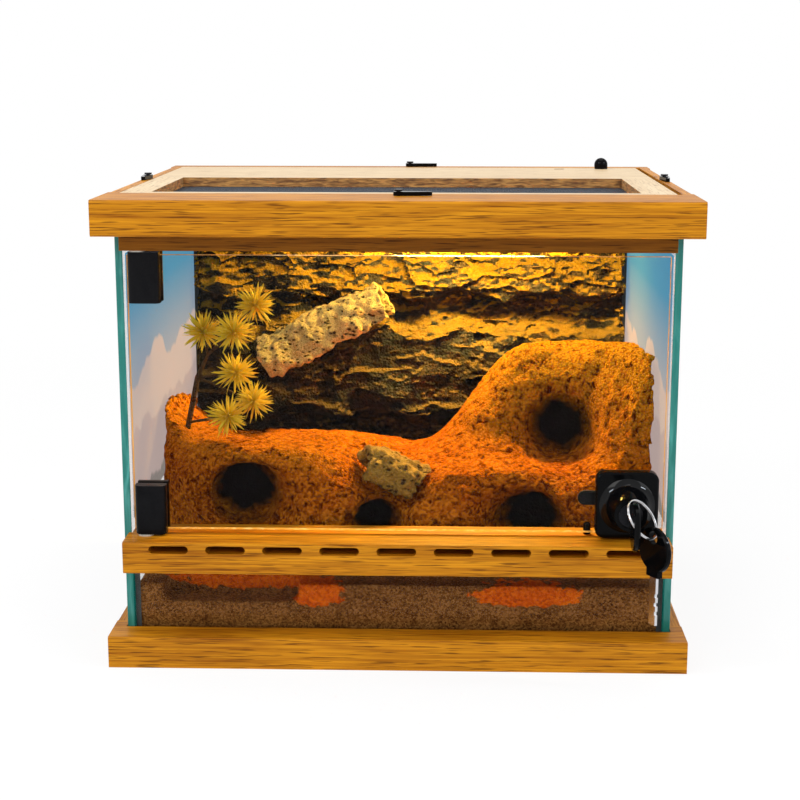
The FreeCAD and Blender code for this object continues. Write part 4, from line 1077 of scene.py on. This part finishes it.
SOIL = Soil("brown_soil", ((0.055, 0.018, 0.003), (0.225, 0.085, 0.019), (0.43, 0.190, 0.048)), (
    (0.45, 0.05, 0.002), (0.76, 0.115, 0.003), (0.88, 0.21, 0.006)), (
    ((-0.058, -0.144, 0.046), (0.022, 0.03, 0.012)),
    ((0.090, -0.144, 0.045), (0.042, 0.03, 0.009)),
    ((-0.105, -0.122, 0.050), (0.060, 0.016, 0.009)),
))
# Clay whose fifth colour is painted lamp light on the heights, and whose sixth is painted shade deep in the
# burrows.
CLAY = Earth("orange_clay", ((0.10, 0.016, 0.001), (0.44, 0.100, 0.003), (0.72, 0.23, 0.008)), 560.0,
             1.6 * MM, (0.95, 0.48, 0.012), (0.005, 0.002, 0.001), (
                 ((-0.1090, -0.1190, 0.0990), (-0.099, 0.990, 0.099), 22 * MM),
                 ((0.0910, -0.1190, 0.0805), (0.0994, 0.9938, 0.0497), 22 * MM),
                 ((0.1135, -0.0640, 0.1462), (0.0988, 0.988, -0.1186), 20 * MM),
                 ((-0.0150, -0.1190, 0.0785), (-0.0994, 0.9938, 0.0497), 16 * MM)))
ROCK = Rock("layered_rock")
CORK = Cork("pale_cork", (0.85, 0.69, 0.26), (0.42, 0.27, 0.075))
DARK_CORK = Cork("dark_cork", (0.42, 0.24, 0.03), (0.18, 0.08, 0.012))
LEAF = Leaf("yellow_leaf", (0.80, 0.51, 0.012), (0.97, 0.76, 0.06))
STEM = Cork("brown_stem", (0.10, 0.055, 0.02), (0.05, 0.026, 0.01))


@dataclass
class Woodwork:
    """Oak base and lid, vented rail, header and lift-out panel boards."""

    along_x: tuple[str, ...] = (
        "base_front_rail", "base_rear_rail", "lid_front_rail", "lid_rear_rail", "vent_rail")
    along_y: tuple[str, ...] = ("base_left_rail", "base_right_rail", "lid_left_rail", "lid_right_rail")

    def dress(self) -> None:
        """Dress the wooden nodes."""
        dress(OAK_X, *self.along_x)
        dress(OAK_Y, *self.along_y)
        dress(SHADED_OAK, "header_rail")
        dress(BASE_BOARD, "base_panel", "base_bearer")
        dress(VENEER_X, "panel_rear_board", "panel_front_strip")
        dress(VENEER_Y, "panel_left_stile", "panel_right_stile")
        dress(VENT_MESH, "vent_mesh")


@dataclass
class GlassBox:
    """Panes with ground edges, their seams and the printed films."""

    arris: float = 0.35 * MM
    level: float = math.radians(1)
    corner: float = math.radians(60)
    edge_on: float = 0.9
    panes: tuple[tuple[str, str, Thin, str, Finish, Finish], ...] = (
        ("left_glass", "left_pane", Thin.X, "tank", TEAL_EDGE, PANE),
        ("right_glass", "right_pane", Thin.X, "tank", TEAL_EDGE, PANE),
        ("back_glass", "back_pane", Thin.Y, "tank", TEAL_EDGE, PANE),
        ("bottom_glass", "floor_pane", Thin.Z, "tank", TEAL_EDGE, PANE),
        ("lower_front_glass", "lower_front_pane", Thin.Y, "tank", TEAL_EDGE, LOW_PANE),
        ("door_glass", "door_pane", Thin.Y, "door", LAMP_GLOW_EDGE, PANE),
    )

    def pane(self, node: str, name: str, thin: Thin, body: str, edge: Finish, clear: Finish) -> None:
        """Make one pane with eased edges in their own edge finish.

        Args:
            node: CAD node of the pane.
            name: Name of the piece.
            thin: Axis that the pane is thin along.
            body: Body that it moves with.
            edge: Finish of the ground edge.
            clear: Finish of the faces.
        """
        piece = cast(node, name)
        edit(piece)
        bpy.ops.mesh.dissolve_limited(angle_limit=self.level)
        close_edit()
        apply_modifier(piece, "BEVEL", width=self.arris, segments=1, limit_method="ANGLE",
                       angle_limit=self.corner)
        finish_piece(piece, body, (node,), "pane", clear, edge)
        pick_faces(piece, lambda face: abs(face.normal[thin.value]) < self.edge_on)
        piece.active_material_index = 1
        bpy.ops.object.material_slot_assign()
        close_edit()

    def build(self) -> None:
        """Make every pane."""
        for pane in self.panes:
            self.pane(*pane)

    def dress(self) -> None:
        """Dress the seams and films."""
        dress(SEALANT, "silicone_seams")
        dress(FILM, "left_sky_film", "right_sky_film")


@dataclass
class Hardware:
    """Hinges, stop, lock, keys, turn buttons and the split ring of two turns."""

    wire: float = 0.42 * MM
    radius: float = 14.0 * MM
    turns: int = 2
    wire_sides: int = 10
    round_steps: int = 64
    droop: float = math.radians(50)
    lean: float = math.radians(26)
    lock_axis: tuple[float, float] = (0.156, 0.1145)
    plate: float = 8 * MM
    foot_rings: tuple[tuple[float, float], ...] = (
        (18.9, 0.2), (18.3, 0.5), (14.4, 4.4), (13.9, 5.4), (12.6, 6.4), (12.6, -0.4), (19.1, -0.4))

    def dress(self) -> None:
        """Dress the metal and plastic nodes."""
        dress(BLACK_METAL, "upper_hinge_clamp", "lower_hinge_clamp", "hinge_back_plates",
              "door_stop_peg")
        dress(GLOSS_BLACK, "lock_housing", "key_bow", "spare_key_bow", "front_turn_button",
              "rear_turn_button", "left_turn_button", "right_turn_button", "cable_hood")
        dress(SOFT_BLACK, "lock_gasket")
        dress(BLACK_ZINC, "lock_nut", "lock_cam", "hinge_screws", "cam_screw")
        dress(DARK_STEEL, "lock_plug", "button_screws")
        dress(BRIGHT_STEEL, "key_blade", "spare_key_blade")
        dress(NYLON, "pivot_bushes")
        dress(WHITE_PLASTIC, "light_housing")
        dress(OPAL, "light_diffuser")

    def build_foot(self) -> None:
        """Flare the foot of the lock's boss out onto its plate."""
        across, height = self.lock_axis
        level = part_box("lock_gasket")[0][1] - self.plate
        radius, rise = self.foot_rings[0]
        clear_selection()
        bpy.ops.mesh.primitive_circle_add(vertices=self.round_steps, radius=radius * MM,
                                          rotation=(math.pi / 2, 0, 0),
                                          location=(across, level - rise * MM, height))
        piece = named("lock_boss_foot")
        settle(piece)
        edit(piece)
        bpy.ops.mesh.select_mode(type="EDGE")
        bpy.ops.mesh.select_all(action="SELECT")
        for wider, further in self.foot_rings[1:]:
            move = (0, (rise - further) * MM, 0)
            bpy.ops.mesh.extrude_region_move(TRANSFORM_OT_translate={"value": move})
            share = wider / radius
            bpy.ops.transform.resize(value=(share, 1, share),
                                     center_override=(across, level - further * MM, height))
            radius, rise = wider, further
        bpy.ops.mesh.select_all(action="DESELECT")
        bpy.ops.mesh.select_non_manifold()
        bpy.ops.mesh.bridge_edge_loops()
        face_out()
        smooth_between_edges(piece)
        finish_piece(piece, "door", (), "black_plastic", BOSS_BLACK)

    def build(self) -> None:
        """Make the small pieces that the solids leave out."""
        self.build_foot()
        self.build_ring()

    def build_ring(self) -> None:
        """Wind the split ring."""
        low, high = (Vector(corner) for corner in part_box("key_ring"))
        middle = (low + high) / 2
        down_right = Vector((math.cos(self.droop), 0, -math.sin(self.droop)))
        level = Vector((math.sin(self.droop), 0, math.cos(self.droop))) * math.sin(self.lean)
        inward = level + Vector((0, math.cos(self.lean), 0))
        axis = down_right.cross(inward)
        clear_selection()
        bpy.ops.mesh.primitive_circle_add(vertices=self.wire_sides, radius=self.wire, fill_type="NGON",
                                          location=(self.radius, 0, -self.wire * (self.turns - 1)),
                                          rotation=(math.pi / 2, 0, 0))
        piece = named("split_ring_wire")
        settle(piece)
        apply_modifier(piece, "SCREW", axis="Z", angle=math.tau, steps=self.round_steps,
                       render_steps=self.round_steps, iterations=self.turns, screw_offset=2 * self.wire,
                       use_merge_vertices=True, merge_threshold=MERGE)
        edit(piece)
        bpy.ops.mesh.remove_doubles(threshold=MERGE)
        face_out()
        smooth_between_edges(piece)
        turn = Vector((0, 0, 1)).rotation_difference(axis)
        piece.matrix_world = Matrix.Translation(middle) @ turn.to_matrix().to_4x4()
        settle(piece)
        finish_piece(piece, "split_ring", ("key_ring",), "bright_steel", BRIGHT_STEEL)


@dataclass
class WireCloth:
    """Woven wire cloth under the lift-out panel."""

    pitch: float = 2.0 * MM
    wire: float = 0.42 * MM
    sway: float = 0.24 * MM

    def strand(self, name: str, start: Vector, step: Vector, count: int, rises: bool) -> Piece:
        """Draw one wire that passes over and under the ones that it crosses.

        Args:
            name: Name of the piece.
            start: Middle of the wire's first crossing.
            step: Way to the next crossing.
            count: Count of crossings.
            rises: Whether the first crossing is passed above.

        Returns:
            The wire.
        """
        sign = 1 if rises else -1
        turn = (0, math.pi / 2, 0) if abs(step.x) > abs(step.y) else (math.pi / 2, 0, 0)
        clear_selection()
        bpy.ops.mesh.primitive_plane_add(size=self.wire, location=start + Vector((0, 0, sign * self.sway)),
                                         rotation=turn)
        piece = named(name)
        settle(piece)
        edit(piece)
        for _ in range(count - 1):
            sign = -sign
            move = step + Vector((0, 0, 2 * sign * self.sway))
            bpy.ops.mesh.extrude_region_move(TRANSFORM_OT_translate={"value": move})
        close_edit()
        return piece

    def layer(self, name: str, start: Vector, steps: tuple[Vector, Vector], counts: tuple[int, int],
              rises: bool) -> Piece:
        """Lay one layer of wires side by side, each second one shifted in phase.

        Args:
            name: Name of the piece.
            start: Middle of the first crossing.
            steps: Way along a wire, and way to the next wire.
            counts: Crossings along a wire, and wires.
            rises: Whether the first wire starts above.

        Returns:
            The layer.
        """
        rows = []
        for phase in (0, 1):
            row = self.strand(f"{name}_{phase}", start + steps[1] * phase, steps[0], counts[0],
                              rises if phase == 0 else not rises)
            apply_modifier(row, "ARRAY", count=(counts[1] + 1 - phase) // 2, use_relative_offset=False,
                           use_constant_offset=True, constant_offset_displace=steps[1] * 2)
            rows.append(row)
        piece = join(rows, name)
        edit(piece)
        face_out()
        return piece

    def build(self) -> None:
        """Weave the cloth in the place of the CAD net."""
        low, high = (Vector(corner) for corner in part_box("panel_mesh"))
        columns = int((high.x - low.x - self.wire) / self.pitch) + 1
        rows = int((high.y - low.y - self.wire) / self.pitch) + 1
        woven = Vector((columns - 1, rows - 1, 0)) * self.pitch
        spare = Vector((high.x - low.x, high.y - low.y, 0)) - woven
        start = Vector((low.x, low.y, (low.z + high.z) / 2)) + spare / 2
        across = Vector((self.pitch, 0, 0))
        along = Vector((0, self.pitch, 0))
        weft = self.layer("cloth_weft", start, (across, along), (columns, rows), True)
        warp = self.layer("cloth_warp", start, (along, across), (rows, columns), False)
        finish_piece(weft, "lift_panel", ("panel_mesh",), "mesh", WIRE)
        finish_piece(warp, "lift_panel", (), "mesh", WIRE)


@dataclass
class Scenery:
    """Soil, clay mound, rock wall and cork, cast from the solids and roughened."""

    clay_voxel: float = 1.9 * MM
    rock_voxel: float = 2.0 * MM
    cork_voxel: float = 1.1 * MM
    soil_voxel: float = 2.6 * MM
    soil_spread: float = 1.028
    rock_stretch: float = 2.4
    rim: float = 1.15
    press: float = 0.85
    reach: float = 40 * MM
    uneven: float = 0.14
    lobes: int = 2
    phase: float = 40
    rock_level: float = 0.35
    front_limit: float = -0.05
    top_limit: float = 0.5

    def texture(self, name: str, kind: str, size: float, depth: int = 3) -> bpy.types.Texture:
        """Make a procedural relief pattern.

        Args:
            name: Name of the pattern.
            kind: Type of the pattern.
            size: Size of its largest spots.
            depth: Count of its finer layers, where it has any.

        Returns:
            The pattern.
        """
        pattern = bpy.data.textures.new(name, kind)
        pattern.noise_scale = size
        if kind == "CLOUDS":
            pattern.noise_depth = depth
        return pattern

    def blocks(self, name: str, size: float) -> bpy.types.Texture:
        """Make a relief pattern of blocks that stand at their own levels.

        Args:
            name: Name of the pattern.
            size: Size of the blocks.

        Returns:
            The pattern.
        """
        pattern = self.texture(name, "VORONOI", size)
        pattern.color_mode = "POSITION"
        return pattern

    def roughen(self, piece: Piece, pattern: bpy.types.Texture, depth: float, keep_in: bool = True) -> None:
        """Push a piece's surface along its normals by a pattern, only inwards or both ways."""
        apply_modifier(piece, "DISPLACE", texture=pattern, strength=depth, mid_level=1.0 if keep_in else 0.5,
                       direction="NORMAL", texture_coords="LOCAL")

    def flare(self, piece: Piece, mouth: Vector, way: Vector, radius: float) -> None:
        """Press the ground round a burrow's mouth into a soft funnel.

        Args:
            piece: Ground.
            mouth: Middle of the mouth.
            way: Way inwards.
            radius: Radius of the burrow.
        """
        for vertex in piece.data.vertices:
            away = vertex.co - mouth
            inward = away.dot(way)
            aside = away - way * inward
            angle = self.lobes * math.atan2(aside.z, aside.x) + self.phase * mouth.x
            wobble = 1 + self.uneven * math.sin(angle)
            share = 1 - max(0.0, aside.length / wobble - radius) / (self.rim * radius)
            if share > 0 and inward > -self.reach:
                fade = min(1.0, max(0.0, 1 - inward / self.reach))
                vertex.co += way * (self.press * radius * share * share * fade)

    def build_clay(self) -> None:
        """Make the clay mound."""
        piece = body_of("clay_mound", "clay_hill", 2 * self.clay_voxel, 40)
        for mouth, way, radius in CLAY.burrows:
            self.flare(piece, Vector(mouth), Vector(way), radius)
        even_mesh(piece, self.clay_voxel, 2)
        self.roughen(piece, self.texture("clay_lumps", "CLOUDS", 24 * MM, 2), 6 * MM)
        self.roughen(piece, self.texture("clay_clods", "CLOUDS", 6 * MM, 4), 3.2 * MM)
        smooth(piece)
        finish_piece(piece, "tank", ("clay_mound",), "clay", CLAY)

    def build_rock(self) -> None:
        """Make the layered rock wall, with its relief stretched out sideways."""
        piece = body_of("rock_wall", "rock_face", self.rock_voxel, 3)
        front = piece.vertex_groups.new(name="front")
        shown = [v.index for v in piece.data.vertices
                 if v.normal.y < self.front_limit or v.normal.z > self.top_limit]
        front.add(shown, 1.0, "REPLACE")
        stretch(piece, 1, self.rock_stretch)
        for pattern, depth in ((self.blocks("rock_blocks", 52 * MM), 20 * MM),
                               (self.blocks("rock_slabs", 24 * MM), 9 * MM),
                               (self.texture("rock_steps", "CLOUDS", 12 * MM, 3), 5 * MM)):
            apply_modifier(piece, "DISPLACE", texture=pattern, strength=depth, mid_level=self.rock_level,
                           direction="Y", texture_coords="LOCAL", vertex_group="front")
        stretch(piece, 1, 1 / self.rock_stretch)
        self.roughen(piece, self.texture("rock_grit", "CLOUDS", 6 * MM, 3), 3 * MM)
        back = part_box("rock_wall")[1][1]
        for vertex in piece.data.vertices:
            vertex.co.y = min(vertex.co.y, back)
        smooth_between_edges(piece)
        finish_piece(piece, "tank", ("rock_wall",), "rock", ROCK)

    def build_cork(self) -> None:
        """Make the leaning bark and the small chip."""
        pits = self.texture("cork_pits", "VORONOI", 8 * MM)
        lumps = self.texture("cork_lumps", "CLOUDS", 30 * MM, 4)
        for node, name, finish in (("cork_bark", "leaning_bark", CORK),
                                   ("cork_chip", "bark_chip", DARK_CORK)):
            piece = body_of(node, name, self.cork_voxel, 6)
            self.roughen(piece, lumps, 13 * MM, False)
            self.roughen(piece, pits, -5 * MM, False)
            smooth(piece)
            finish_piece(piece, "tank", (node,), "cork", finish)

    def build_soil(self) -> None:
        """Make the soil bed."""
        piece = body_of("substrate_bed", "soil_bed", self.soil_voxel, 1)
        stretch(piece, self.soil_spread, 1)
        self.roughen(piece, self.texture("soil_clods", "CLOUDS", 9 * MM, 3), 1.6 * MM)
        smooth(piece)
        finish_piece(piece, "tank", ("substrate_bed",), "soil", SOIL)

    def build(self) -> None:
        """Make all the scenery."""
        self.build_soil()
        self.build_clay()
        self.build_rock()
        self.build_cork()


@dataclass
class Plant:
    """Stem with twigs, and tufts of narrow leaves round the middles of the solid tufts."""

    stem_voxel: float = 0.5 * MM
    leaf_length: float = 17.5 * MM
    leaf_width: float = 1.9 * MM
    leaf_foot: float = 0.45
    leaf_flat: float = 0.35
    leaf_steps: tuple[Point, ...] = ((0.35, 1.25, 0.1), (0.35, 0.8, 0.7), (0.3, 0.12, 1.4))
    leaves: int = 84
    jitter: float = 0.25
    sizes: tuple[float, float] = (0.75, 1.05)
    steepness: float = 0.85
    lift: float = 0.15
    seed: int = 11

    def middles(self) -> list[Vector]:
        """Middle of each solid tuft.

        Returns:
            The points.
        """
        edit(cast("plant_leaves", "tuft_guide"))
        bpy.ops.mesh.separate(type="LOOSE")
        close_edit()
        guides = list(bpy.context.selected_objects)
        points = []
        for guide in guides:
            corners = [vertex.co for vertex in guide.data.vertices]
            points.append(sum(corners, Vector()) / len(corners))
            bpy.data.objects.remove(guide)
        return points

    def build_stem(self) -> None:
        """Soften the solid stem into a knotty stalk."""
        piece = body_of("plant_stem", "plant_stalk", self.stem_voxel, 4)
        smooth(piece)
        finish_piece(piece, "tank", ("plant_stem",), "stem", STEM)

    def leaf(self) -> Piece:
        """Shape one narrow bowed leaf that stands up from the origin.

        Returns:
            The leaf, with its length from 0 to 1 stored on its points.
        """
        clear_selection()
        bpy.ops.mesh.primitive_circle_add(vertices=4, radius=self.leaf_width * self.leaf_foot,
                                          fill_type="NGON")
        piece = named("narrow_leaf")
        edit(piece)
        bpy.ops.transform.resize(value=(1, self.leaf_flat, 1), center_override=(0, 0, 0))
        middle = Vector()
        for rise, width, bow in self.leaf_steps:
            move = Vector((0, bow * MM, rise * self.leaf_length))
            middle += move
            bpy.ops.mesh.extrude_region_move(TRANSFORM_OT_translate={"value": move})
            bpy.ops.transform.resize(value=(width, width, 1), center_override=middle)
        face_out()
        along = piece.data.attributes.new("along", "FLOAT", "POINT")
        along.data.foreach_set("value", [min(1.0, v.co.z / self.leaf_length) for v in piece.data.vertices])
        return piece

    def build_tufts(self) -> None:
        """Set the leaves round the middle of each tuft."""
        chance = random.Random(self.seed)
        middles = self.middles()
        model = self.leaf()
        blades = []
        for middle in middles:
            for count in range(self.leaves):
                height = 1 - 2 * (count + 0.5) / self.leaves
                spin = count * math.pi * (3 - math.sqrt(5)) + chance.uniform(-self.jitter, self.jitter)
                flat = math.sqrt(1 - height * height)
                rise = height * self.steepness + self.lift
                way = Vector((flat * math.cos(spin), flat * math.sin(spin), rise))
                turn = Vector((0, 0, 1)).rotation_difference(way.normalized())
                roll = Matrix.Rotation(chance.uniform(0, math.tau), 4, "Z")
                size = Matrix.Diagonal((1, 1, chance.uniform(*self.sizes), 1))
                blade = twin(model)
                blade.matrix_world = Matrix.Translation(middle) @ turn.to_matrix().to_4x4() @ roll @ size
                blades.append(blade)
        bpy.data.objects.remove(model)
        clear_selection()
        for blade in blades:
            blade.select_set(True)
        bpy.context.view_layer.objects.active = blades[0]
        bpy.ops.object.transform_apply(location=True, rotation=True, scale=True)
        piece = join(blades, "plant_tufts")
        finish_piece(piece, "tank", ("plant_leaves",), "leaf", LEAF)

    def build(self) -> None:
        """Make the plant."""
        self.build_stem()
        self.build_tufts()


@dataclass(frozen=True)
class PaleFloor(Finish):
    """Pale floor that keeps a soft shadow near the object and goes to white away from it."""

    near: float = 0.84
    dark: Colour = (0.90, 0.90, 0.90)
    light: Colour = (0.93, 0.93, 0.93)

    def lay_out(self, recipe: Recipe) -> None:
        """Lay out the floor.

        Args:
            recipe: Tree of the material.
        """
        place = recipe.place()
        speck = recipe.noise(place, 40.0, 2.0)
        colour = recipe.blend(speck, self.dark, self.light)
        matt = recipe.add("ShaderNodeBsdfDiffuse", {"Color": colour})
        white = recipe.add("ShaderNodeEmission", {"Color": (1, 1, 1, 1), "Strength": 1.0})
        far = recipe.vector("LENGTH", place)["Value"]
        share = recipe.sum("MULTIPLY", recipe.sum("MINIMUM", recipe.seen(), 1.0),
                           recipe.spread(far, 0.35, 1.3, self.near, 1.0))
        recipe.mixed(share, matt, white)


@dataclass(frozen=True)
class Lamp:
    """Area lamp, with its size in metres and its power in watts."""

    name: str
    place: Point
    aim: Point
    size: tuple[float, float]
    power: float
    colour: Colour

    def hang(self) -> None:
        """Hang the lamp so that it faces its aim."""
        data = bpy.data.lights.new(self.name, "AREA")
        data.shape = "RECTANGLE"
        data.size, data.size_y = self.size
        data.energy = self.power
        data.color = self.colour
        lamp = bpy.data.objects.new(self.name, data)
        turn = (Vector(self.aim) - Vector(self.place)).to_track_quat("-Z", "Y")
        lamp.matrix_world = Matrix.Translation(self.place) @ turn.to_matrix().to_4x4()
        bpy.context.scene.collection.objects.link(lamp)


WARM = (1.0, 0.98, 0.95)
COOL = (0.82, 0.91, 1.0)
LOCK_FRONT = (0.156, -0.16, 0.115)
LAMPS = (
    Lamp("key_light", (-0.9, -1.6, 1.7), (0, 0, 0.2), (1.4, 1.0), 16.0, WARM),
    Lamp("fill_light", (1.5, -1.2, 1.0), (0, 0, 0.15), (1.0, 1.2), 7.0, (0.95, 0.98, 1.0)),
    Lamp("top_light", (0.1, 0.3, 2.0), (0, 0, 0.3), (1.4, 1.4), 14.0, WARM),
    Lamp("left_strip", (-0.78, -0.39, 0.86), LOCK_FRONT, (0.04, 0.3), 3.2, COOL),
    Lamp("right_strip", (1.09, -0.39, 0.86), LOCK_FRONT, (0.04, 0.3), 3.2, COOL),
    Lamp("tank_lamp", (0.05, 0.070, 0.3005), (0.05, 0.045, 0.1), (0.12, 0.018), 3.1, (1.0, 0.68, 0.13)),
)


@dataclass
class Studio:
    """Camera, floor, sky and lamps."""

    eye: Point = (0.036642, -1.253622, 0.412731)
    yaw: float = 0.0294
    pitch: float = 0.2122
    roll: float = 0.0011
    lens: float = 74.95
    sensor: float = 36.0
    shift: tuple[float, float] = (-0.0047, 0.0181)
    sky: float = 0.62
    floor_size: float = 40.0
    floor_drop: float = 0.2 * MM

    def camera(self) -> None:
        """Set the camera up at the photograph's angle."""
        data = bpy.data.cameras.new("view")
        data.lens = self.lens
        data.sensor_width = self.sensor
        data.shift_x, data.shift_y = self.shift
        view = bpy.data.objects.new("view", data)
        turn = Matrix.Rotation(self.yaw, 4, "Z") @ Matrix.Rotation(math.pi / 2 - self.pitch, 4, "X")
        view.matrix_world = Matrix.Translation(self.eye) @ turn @ Matrix.Rotation(self.roll, 4, "Z")
        bpy.context.scene.collection.objects.link(view)
        bpy.context.scene.camera = view

    def world(self) -> None:
        """Light the scene from all round, with a white background where it is seen."""
        world = bpy.data.worlds.new("studio")
        world.use_nodes = True
        recipe = Recipe(world.node_tree)
        strength = recipe.spread(recipe.seen(), 0.0, 1.0, self.sky, 1.0)
        sky = recipe.add("ShaderNodeBackground", {"Color": (1, 1, 1, 1), "Strength": strength})
        recipe.add("ShaderNodeOutputWorld", {"Surface": sky.outputs[0]})
        bpy.context.scene.world = world

    def build(self) -> None:
        """Set the studio up."""
        clear_selection()
        bpy.ops.mesh.primitive_plane_add(size=self.floor_size, location=(0, 0, -self.floor_drop))
        floor = named("studio_floor")
        floor.data.materials.append(PaleFloor("pale_floor").material())
        self.world()
        for lamp in LAMPS:
            lamp.hang()
        self.camera()
        bpy.context.scene.view_settings.view_transform = "Standard"


def main() -> None:
    """Build and dress the sub-assemblies in order."""
    logging.basicConfig(level=logging.INFO, format="%(message)s")
    Woodwork().dress()
    glass = GlassBox()
    glass.build()
    glass.dress()
    hardware = Hardware()
    hardware.dress()
    hardware.build()
    WireCloth().build()
    Scenery().build()
    Plant().build()
    Studio().build()
    clear_selection()


if __name__ == "__main__":
    main()
